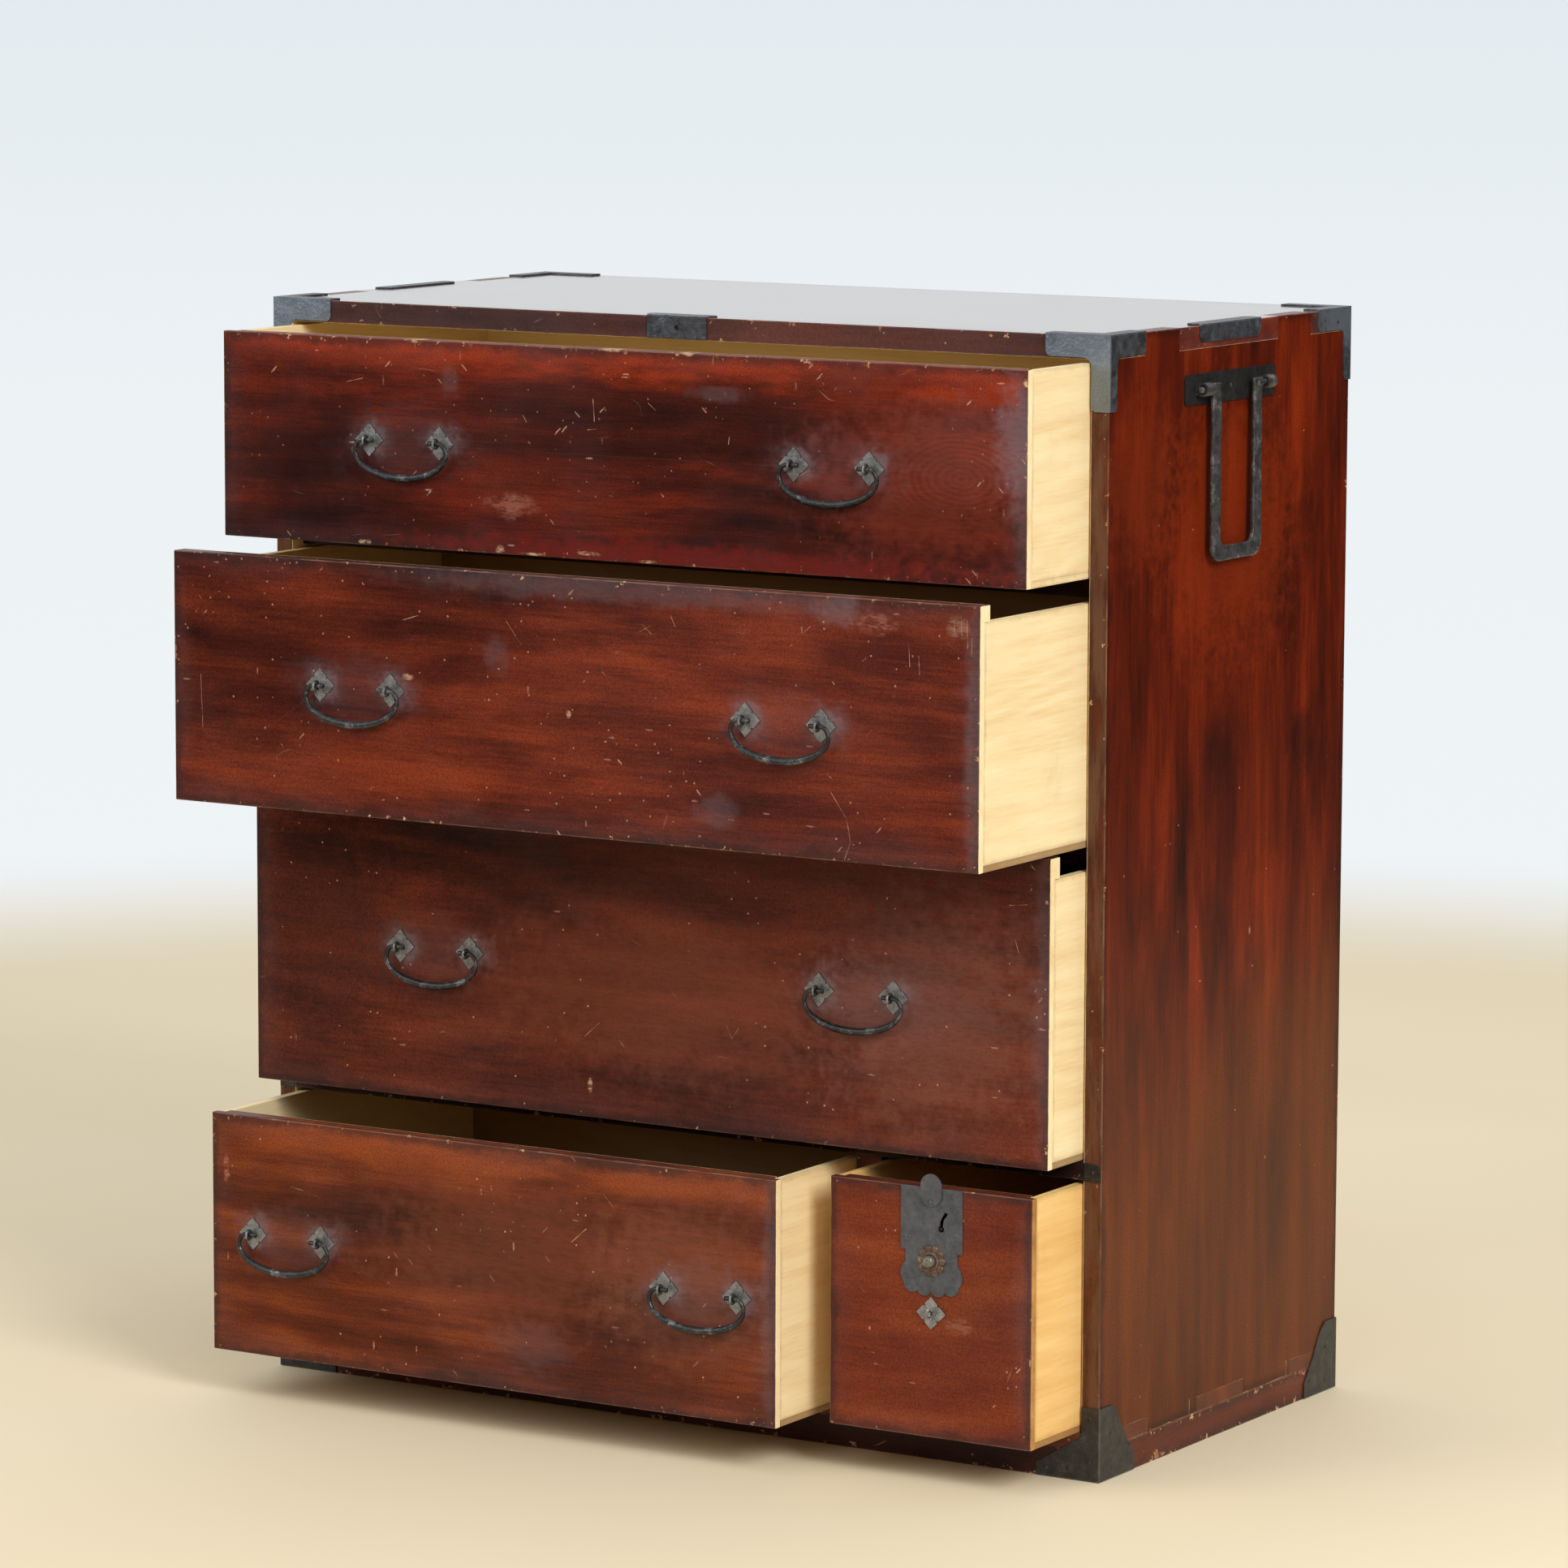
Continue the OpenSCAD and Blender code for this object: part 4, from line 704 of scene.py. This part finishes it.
def forge_shape(node, voxel, depth, lump):
    """Hand-forged unevenness: the node is remeshed evenly and its skin pressed in by up to depth, in lumps of width
    lump."""
    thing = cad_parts[node]
    even = thing.modifiers.new("even_mesh", "REMESH")
    even.mode, even.voxel_size, even.use_smooth_shade = "VOXEL", voxel, True
    calm = thing.modifiers.new("calm", "SMOOTH")
    calm.factor, calm.iterations = 0.5, 4
    lumps = bpy.data.textures.new("lumps_" + node, "CLOUDS")
    lumps.noise_scale, lumps.noise_depth = lump, 1
    dents = thing.modifiers.new("dents", "DISPLACE")
    dents.texture, dents.texture_coords, dents.strength, dents.mid_level = lumps, "LOCAL", depth, 0.9


BOARD_EDGE = 0.0006

# Dark, middle and light tone of each drawer front.
FRONT_TONES = {
    1: ((40, 14, 11), (76, 26, 17), (128, 43, 20)),
    2: ((42, 15, 11), (86, 32, 20), (128, 52, 27)),
    3: ((46, 19, 13), (88, 36, 22), (120, 53, 31)),
    4: ((50, 20, 9), (93, 38, 16), (134, 63, 26)),
    5: ((74, 28, 12), (107, 41, 18), (130, 58, 25)),
}

# Marks on the drawer fronts, in millimetres right of a front's left end and above its lower edge.
# Dark places, stained ones and painted shade, are (across, up, half width, half height, strength); spots have a
# colour before the strength; strokes are (across, up, run across, run up, width).
FRONT_STAINS_AND_SHADE = {
    1: [(90, 100, 120, 100, 0.45), (360, 100, 200, 50, 0.35), (600, 130, 160, 40, 0.25)],
    2: [(80, 130, 120, 100, 0.35), (620, 60, 100, 40, 0.25)],
    # On drawer 3 the wide dark band along its top edge is painted shadow cast by drawer 2 above it.
    3: [(60, 160, 140, 140, 0.5), (450, 240, 500, 60, 0.45)],
    4: [(200, 160, 100, 50, 0.25), (500, 50, 100, 50, 0.25)],
    5: [(140, 100, 90, 80, 0.15)],
}
# Spots in the two whitish tints are hazy bloom with painted sheen.
FRONT_SPOTS = {
    1: [(324, 45, 34, 14, (156, 96, 82), 0.75), (255, 155, 14, 18, HAZE_AND_SHEEN_TINT, 0.25),
        (520, 6, 400, 20, (142, 36, 22), 0.55), (160, 3, 10, 3.5, PALE_CHIP, 0.8), (310, 5, 6, 5, PALE_CHIP, 0.7),
        (345, 2, 14, 2, PALE_CHIP, 0.8), (405, 6, 14, 2, PALE_CHIP, 0.8), (470, 2, 12, 2, PALE_CHIP, 0.7),
        (215, 191.5, 12, 3, PALE_CHIP, 0.7), (430, 191.5, 16, 3, PALE_CHIP, 0.7), (510, 191.5, 12, 3, PALE_CHIP, 0.7),
        (800, 120, 100, 60, HAZE_AND_SHEEN_TINT, 0.16), (760, 90, 160, 100, (136, 58, 40), 0.45),
        (852, 130, 30, 70, BLUE_HAZE_AND_SHEEN, 0.34), (545, 157, 40, 10, HAZE_AND_SHEEN_TINT, 0.3)],
    2: [(755, 211, 30, 12, (150, 92, 80), 0.65), (263, 132, 9, 4, CHIP_TINT, 0.9), (437, 110, 3, 4, CHIP_TINT, 0.9),
        (360, 160, 20, 20, HAZE_AND_SHEEN_TINT, 0.25), (593, 36, 30, 20, BLUE_HAZE_AND_SHEEN, 0.17), (500, 225, 300, 16, HAZE_AND_SHEEN_TINT, 0.3),
        (720, 222, 30, 20, BLUE_HAZE_AND_SHEEN, 0.28), (840, 214, 16, 14, (176, 140, 122), 0.35)],
    3: [(700, 130, 120, 50, HAZE_AND_SHEEN_TINT, 0.16), (460, 120, 300, 100, (122, 62, 42), 0.5),
        (740, 130, 160, 140, (128, 78, 64), 0.45), (377, 30, 3, 10, CHIP_TINT, 0.8)],
    4: [(360, 45, 60, 30, HAZE_AND_SHEEN_TINT, 0.2), (340, 130, 200, 90, (124, 62, 36), 0.45),
        (520, 120, 120, 100, (128, 76, 56), 0.4), (16, 176, 4, 16, (176, 104, 84), 0.7)],
    5: [(135, 105, 16, 10, (150, 92, 70), 0.6)],
}
# Each front's wear along its arrises and its share of pits, then the hazy bloom and painted sheen at its right end.
FRONT_WEAR = {1: (1.0, 0.17), 2: (0.9, 0.25), 3: (0.5, 0.08), 4: (0.5, 0.13), 5: (0.4, 0.08)}
FRONT_END_HAZE_AND_SHEEN = {1: 0.34, 2: 0.42, 3: 0.22, 4: 0.26, 5: 0.08}
FRONT_STROKES = {
    1: [(411, 146, 1.5, -20, 0.7), (405, 118, 10, 1, 0.7), (140, 150, 18, 4, 0.5), (335, 128, 4, -6, 0.5),
        (470, 145, 8, -6, 0.4), (555, 112, 1, 7, 0.5), (620, 82, 20, 12, 0.4)],
    2: [(712, 60, 16, -22, 0.5), (728, 38, 4, -20, 0.5), (732, 18, -6, -16, 0.5), (258, 184, 16, 5, 0.7),
        (790, 196, 1, -20, 0.5), (800, 186, 1, -16, 0.5), (30, 120, 2, -50, 0.4), (842, 224, 1, -18, 0.5),
        (848, 220, 1, -24, 0.5), (835, 219, 1, -10, 0.5), (853, 205, 0, -16, 0.4), (515, 196, 10, -8, 0.6),
        (512, 189, 12, 6, 0.5), (545, 206, 5, -10, 0.5), (690, 205, -8, -7, 0.5), (370, 190, 16, -20, 0.4)],
    3: [(371, 75, 16, 14, 0.4), (525, 100, 6, -12, 0.6), (531, 88, 7, 10, 0.6), (820, 235, 18, 2, 0.5),
        (826, 205, 4, -12, 0.5)],
    4: [(405, 147, 16, 14, 0.7), (440, 195, 10, -10, 0.5), (90, 165, 14, -2, 0.4)],
    5: [(95, 152, 10, 4, 0.6), (184, 60, 4, 10, 0.5)],
}

SIDE_TONES = ((34, 9, 5), (84, 23, 7), (130, 42, 10))
LOW_TONES = ((68, 30, 10), (92, 42, 12), (111, 53, 17))
BASE_TONES = ((36, 16, 12), (62, 27, 19), (88, 42, 28))
# How far marks reach into their board, in metres, which is well past its thickness.
THROUGH = 0.05
# Stains of the case's sides, in metres: (place along Y, height, half width, half height, strength).
SIDE_STAINS = ((0.06, 0.60, 0.22, 0.10, 0.3), (-0.02, 0.635, 0.03, 0.05, 0.5), (0.145, 0.630, 0.035, 0.045, 0.55),
               (0.08, 0.780, 0.05, 0.05, 0.35))


def side_lacquer(node, sign, seed):
    """The lacquer of one case side, with a crack below the top edge, the scribed seam above the base frame, the ticks
    of its nails and a dent."""
    x = sign * CASE_W / 2
    strokes = [((x, -0.014, CASE_H - 0.004), (0, 0, -0.070), 0.0006, (24, 8, 6))]
    strokes += [((x, y, 0.029), (0, 0.034, 0.001), 0.0008, (196, 140, 110)) for y in (-0.13, -0.06, 0.02, 0.09, 0.16)]
    strokes += [((x, FRONT_Y + y, 0.024), (0, 0, 0.020), 0.0008, (206, 152, 124))
                for y in (0.092, 0.171, 0.270, 0.363)]
    strokes += [((x, -0.190, 0.800), (0, 0, -0.022), 0.0022, (34, 12, 9))]
    return lacquer(
        "lacquer_" + node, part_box(node), ALONG_Z, SIDE_TONES, seed, 150.0, lower_tones=LOW_TONES,
        raw_sides=[("X", sign * (CASE_W / 2 - SIDE_T + 0.0004), -sign)], front_edge=(104, 74, 56),
        # The two orange patches high on the side are painted light: the top of the side made lighter where the light
        # falls.
        spots=[((x, 0.0, 0.84), (THROUGH, 0.17, 0.17), (136, 46, 14), 0.55),
               ((x, -0.17, 0.90), (THROUGH, 0.09, 0.10), (124, 44, 16), 0.4)],
        stains=[((x, y, z), (THROUGH, wide, high), strength) for y, z, wide, high, strength in SIDE_STAINS],
        lines=0.03, pits=0.012, haze=0.003, wear=0.5, rim=0.5, streaks=0.12, fine=1.5, contrast=0.88, gloss=0.13,
        strokes=strokes)


def dress_lacquer(node, name, along, tones, seed, edge=BOARD_EDGE, **look):
    """Dresses a CAD node in lacquer that fits its box."""
    dress(node, lacquer("lacquer_" + name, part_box(node), along, tones, seed, **look), edge)


def dress_case():
    """Case boards, rails and the parts inside the case."""
    dress("side_left", side_lacquer("side_left", -1, 21.0), BOARD_EDGE)
    dress("side_right", side_lacquer("side_right", 1, 5.0), BOARD_EDGE)
    # The dark patch at the peg hole in the top board's front edge is painted shade inside the hole.
    peg_hole = (0.0, FRONT_Y, CASE_H - 0.0105)
    dress_lacquer("top_board", "top", ALONG_X, ((50, 24, 20), (76, 36, 28), (98, 48, 34)), 2.0, bands=120.0,
                  raw_sides=[("Z", CASE_H - 0.0206, -1)], haze=0.05, wear=0.7, shiny_top=CASE_H - 0.0003,
                  end_tones=SIDE_TONES, stains=[(peg_hole, (0.014, 0.010, 0.014), 1.0)])
    dress_lacquer("bottom_board", "bottom", ALONG_X, LOW_TONES, 3.0, wear=0.4)
    dress_lacquer("base_long_rails", "base", ALONG_X, BASE_TONES, 8.0, 0.0008)
    dress_lacquer("base_cross_rails", "base_ends", ALONG_Y, ((54, 21, 11), (90, 36, 17), (118, 54, 27)), 9.0, 0.0008,
                  wear=1.2, rim=0.4,
                  spots=[((CASE_W / 2, -0.123, 0.0055), (0.01, 0.007, 0.006), (206, 150, 96), 0.95)])
    # The shelf rails are near black: painted shade in the gaps between the drawers.
    dress_lacquer("shelf_rails", "rails", ALONG_X, ((24, 11, 8), (40, 18, 13), (58, 28, 19)), 12.0,
                  raw_sides=[("Y", FRONT_Y + 0.026, 1)])
    dress_lacquer("partition", "post", ALONG_Z, BASE_TONES, 13.0, 0.0005, raw_sides=[("Y", FRONT_Y + 0.012, 1)])
    # Darker tones inside the case: painted shade on its back and dust boards.
    inside = ((150, 112, 62), (184, 146, 88), (206, 170, 108))
    dress("back_boards", bare_wood("back_boards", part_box("back_boards"), ALONG_Z, 31.0, inside, (-0.22, 0.0, 0.22)),
          BOARD_EDGE)
    dress("dust_boards", bare_wood("dust_boards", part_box("dust_boards"), ALONG_X, 33.0, inside))
    dress("drawer_stops", bare_wood("drawer_stops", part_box("drawer_stops"), ALONG_X, 35.0), 0.0005)


def front_lacquer(n):
    """The lacquer of one drawer front with its own stained places and painted shade, worn spots, hazy bloom with
    painted sheen, and scratches.
    """
    (left, y, low), (right, _, high) = DRAWERS[n]
    wide, middle = right - left, (low + high) / 2

    def place(across, up):
        return (left + across * MM, y, low + up * MM)

    def reach(half_width, half_height):
        return (half_width * MM, THROUGH, half_height * MM)

    stains = [(place(a, u), reach(hw, hh), strength) for a, u, hw, hh, strength in FRONT_STAINS_AND_SHADE[n]]
    spots = [(place(a, u), reach(hw, hh), tint, strength) for a, u, hw, hh, tint, strength in FRONT_SPOTS[n]]
    # Hazy bloom and painted sheen about each pull and round its eyes.
    for side in SIDES if n in PULL_DRAWERS else ():
        x, _, z = PULLS[n, side]
        spots.append(((x, y, z - 0.004), reach(95, 48), HAZE_AND_SHEEN_TINT, 0.13))
        for way in (-1, 1):
            eye = (x + way * EYE_PITCH / 2 + 0.003, y, z + 0.001)
            spots += [(eye, reach(33, 27), HAZE_AND_SHEEN_TINT, 0.26), (eye, reach(20.5, 19), BLUE_HAZE_AND_SHEEN, 0.40)]
    # Hazy bloom and painted sheen along the right end, and faintly over the right of the middle.
    spots.append(((right - 0.004, y, middle), (0.016, THROUGH, 0.7 * (high - low)), HAZE_AND_SHEEN_TINT, FRONT_END_HAZE_AND_SHEEN[n]))
    if n > 1:
        spots.append(((left + 0.72 * wide, y, middle), reach(360, 240), BLUE_HAZE_AND_SHEEN, 0.022))
    strokes = [(place(a, u), (run * MM, 0, rise * MM), width * MM, CHIP_TINT)
               for a, u, run, rise, width in FRONT_STROKES[n]]
    wear, pits = FRONT_WEAR[n]
    return lacquer("lacquer_front_%d" % n, DRAWERS[n], ALONG_X, FRONT_TONES[n], 40.0 + 3.3 * n, 150.0,
                   raw_sides=[("Y", y + 0.0155, 1), ("X", left + 0.0005, -1), ("X", right - 0.0005, 1)],
                   raw_tones=((150, 104, 56), (178, 130, 74), (196, 150, 92)) if n == 5 else RAW_WOOD,
                   top_band={1: (152, 50, 14), 4: (142, 66, 27)}.get(n), lines=0.15, pits=pits, wear=wear, rim=0.6,
                   streaks=0.13, contrast=0.97, gloss=0.11, haze=0.035, spots=spots, stains=stains, strokes=strokes,
                   ring=(place(795, 93), reach(100, 55)) if n == 1 else None)


def dress_drawers():
    """Lacquered fronts and bare linings. In all drawers but the first the backs and bottoms are darkened by painted
    shade.
    """
    for n in DRAWERS:
        dress("drawer_%d_front" % n, front_lacquer(n), 0.0009)
        pale = ((226, 178, 106), (236, 193, 122), (242, 205, 138)) if n == 5 else RAW_WOOD
        # The backs and bottoms of drawers 2 to 5 get darker tones: painted shade inside the drawers.
        for part, along, painted_shade in (("sides", ALONG_Y, 1.0), ("back", ALONG_X, 0.60), ("bottom", ALONG_X, 0.68)):
            node = "drawer_%d_%s" % (n, part)
            tones = [[painted_shade ** (0.9 + 0.25 * i) * c for i, c in enumerate(tone)] for tone in pale] if n > 1 else pale
            dress(node, bare_wood(node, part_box(node), along, 60.0 + 7.1 * n + len(part), tones), 0.0005)


def dress_irons():
    """Irons of the case, pulls, handles and the lock's parts. Returns the irons that the nails need."""
    top = CASE_H + IRON_T
    shell = ((0, 0, top / 2), (CASE_W / 2 + IRON_T, CASE_D / 2 + IRON_T, top / 2))
    # Painted glints: bright spots on the front faces of the top corner irons and at the back right corner, for the
    # light they reflect.
    painted_glints = [((x, FRONT_Y - IRON_T, CASE_H - 0.02), (0.13, 0.003, 0.11), 0.62)
                      for x in (-CASE_W / 2, CASE_W / 2)]
    painted_glints.append(((CASE_W / 2, CASE_D / 2 - 0.02, CASE_H - 0.012), (0.004, 0.07, 0.03), 0.7))
    plain = iron("iron_plates", 1.0, 75.0, dark=(40, 39, 38), worn=(112, 110, 106), rubbed=0.5, relief=0.7,
                 rough=0.40, worn_box=shell)
    # The top irons and straps are a lighter, bluer iron: partly painted reflection, partly rubbed metal.
    bright = iron("iron_top_plates_glinting", 1.5, 75.0, dark=(46, 48, 53), worn=(140, 152, 166), rubbed=0.6, relief=0.9,
                  rough=0.40, patches=1.5, worn_box=shell, spots=painted_glints)
    dull = iron("iron_handle_plates", 1.2, 90.0, worn=(92, 92, 92), dark=(30, 30, 31), rubbed=0.35, relief=0.6,
                rough=0.42)
    swing = iron("iron_handles", 2.6, 100.0, dark=(50, 50, 52), worn=(184, 184, 186), rubbed=1.0, relief=1.2,
                 rough=0.38, patches=1.4)
    bars = iron("iron_bars", 2.0, 120.0, dark=(32, 32, 34), worn=(172, 174, 178), rubbed=0.9, relief=1.0, rough=0.30,
                patches=1.2)
    rose = iron("iron_roses", 3.0, 200.0, dark=(106, 105, 104), worn=(178, 176, 172), rubbed=0.9, rough=0.36,
                painted_shade_on_sides=True)
    knuckle = iron("iron_knuckles", 4.0, 160.0, dark=(52, 51, 51), worn=(170, 166, 158), rubbed=1.0, relief=0.6)
    lock = iron("iron_lock", 5.0, 95.0, dark=(70, 72, 77), worn=(132, 136, 142), rubbed=0.4, relief=0.9, patches=0.6)
    inner = iron("iron_inside", 8.0, dark=(22, 20, 18), worn=(60, 56, 52), rubbed=0.2)
    rusty = iron("iron_rosette", 6.0, 220.0, dark=(84, 66, 54), worn=(206, 188, 164), rust=0.9, rubbed=0.9,
                 rust_tint=(128, 82, 54))
    stub = iron("iron_stub", 7.0, 260.0, dark=(80, 80, 72), worn=(164, 164, 150), rust=0.8, rubbed=0.7,
                rust_tint=(110, 62, 34), relief=0.6)
    for node, metal, edge in (("top_corner_irons", bright, 0.0004), ("edge_straps", bright, 0.0004),
                              ("bottom_corner_irons", plain, 0.0004), ("rail_end_plates", plain, 0.0003),
                              ("handle_plates", dull, 0.0005), ("lock_plate", lock, 0.0003),
                              ("key_cover", lock, 0.0004), ("key_cover_rivet", lock, 0.0004),
                              ("cotter_plate", rose, 0.0003), ("rosette_stub", stub, 0.0008),
                              ("lock_case", inner, 0.0004), ("lock_bolt", inner, 0.0004)):
        dress(node, metal, edge)
    dress("handle_eyes", knuckle, 0.0012, 3)
    for side in SIDES:
        dress("handle_" + side, swing, 0.0012, 3)
        forge_shape("handle_" + side, 0.0011, 0.0016, 0.034)
    for n in PULL_DRAWERS:
        dress("drawer_%d_pull_mounts" % n, rose, 0.0003)
        for side in SIDES:
            hang_bail(n, side, bars)
    flower_rosette(rusty)
    return plain, lock


def nail_case(material):
    """Nail heads on the irons of the case's front and both sides. Insets run in from the case's edges."""
    heads = []
    wide, deep = CASE_W / 2, CASE_D / 2
    for sx in (-1, 1):
        for inset, z in ((0.054, 0.008), (0.030, 0.010), (0.009, 0.018), (0.009, 0.058)):
            heads.append(((sx * (wide - inset), -deep - IRON_T, z), (0, -1, 0)))
        for sy in (-1, 1):
            for inset, z in ((0.052, CASE_H - 0.010), (0.026, CASE_H - 0.012), (0.053, 0.016), (0.021, 0.011),
                             (0.020, 0.043), (0.054, 0.026)):
                heads.append(((sx * (wide + IRON_T), sy * (deep - inset), z), (sx, 0, 0)))
        for y in (-0.058, HANDLE_Y, 0.045):
            heads.append(((sx * (wide + IRON_T), y, CASE_H - 0.007), (sx, 0, 0)))
        heads.append(((sx * (wide - SIDE_T / 2), -deep - 0.7 * IRON_T, 0.2825), (0, -1, 0)))
        heads.append(((sx * (wide + 1.2 * IRON_T), HANDLE_Y, CASE_H - HANDLE_DROP), (sx, 0, 0)))
    return dome_heads("case_nails", heads, "case", material)


def nail_lock(material):
    """Small nails round the lock plate, in pairs down its sides and one at its foot."""
    (x0, y, z0), (x1, _, z1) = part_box("lock_plate")
    places = [(x, z1 - down) for inset, down in ((0.005, 0.006), (0.005, 0.046), (0.008, 0.080))
              for x in (x0 + inset, x1 - inset)] + [((x0 + x1) / 2, z0 + 0.005)]
    heads = [((x, y, z), (0, -1, 0)) for x, z in places]
    return dome_heads("lock_nails", heads, "drawer_5", material, radius=1.2, rise=0.5)


stand_camera()
soft_box("key_light", (4.6, -2.6, 3.4), 2.2, 228, (1.0, 0.985, 0.965))
soft_box("fill_light", (-3.2, -4.6, 2.6), 2.6, 84, (0.96, 0.98, 1.0))
backdrop()
dress_case()
dress_drawers()
plate_iron, lock_iron = dress_irons()
nail_case(plate_iron)
nail_lock(lock_iron)
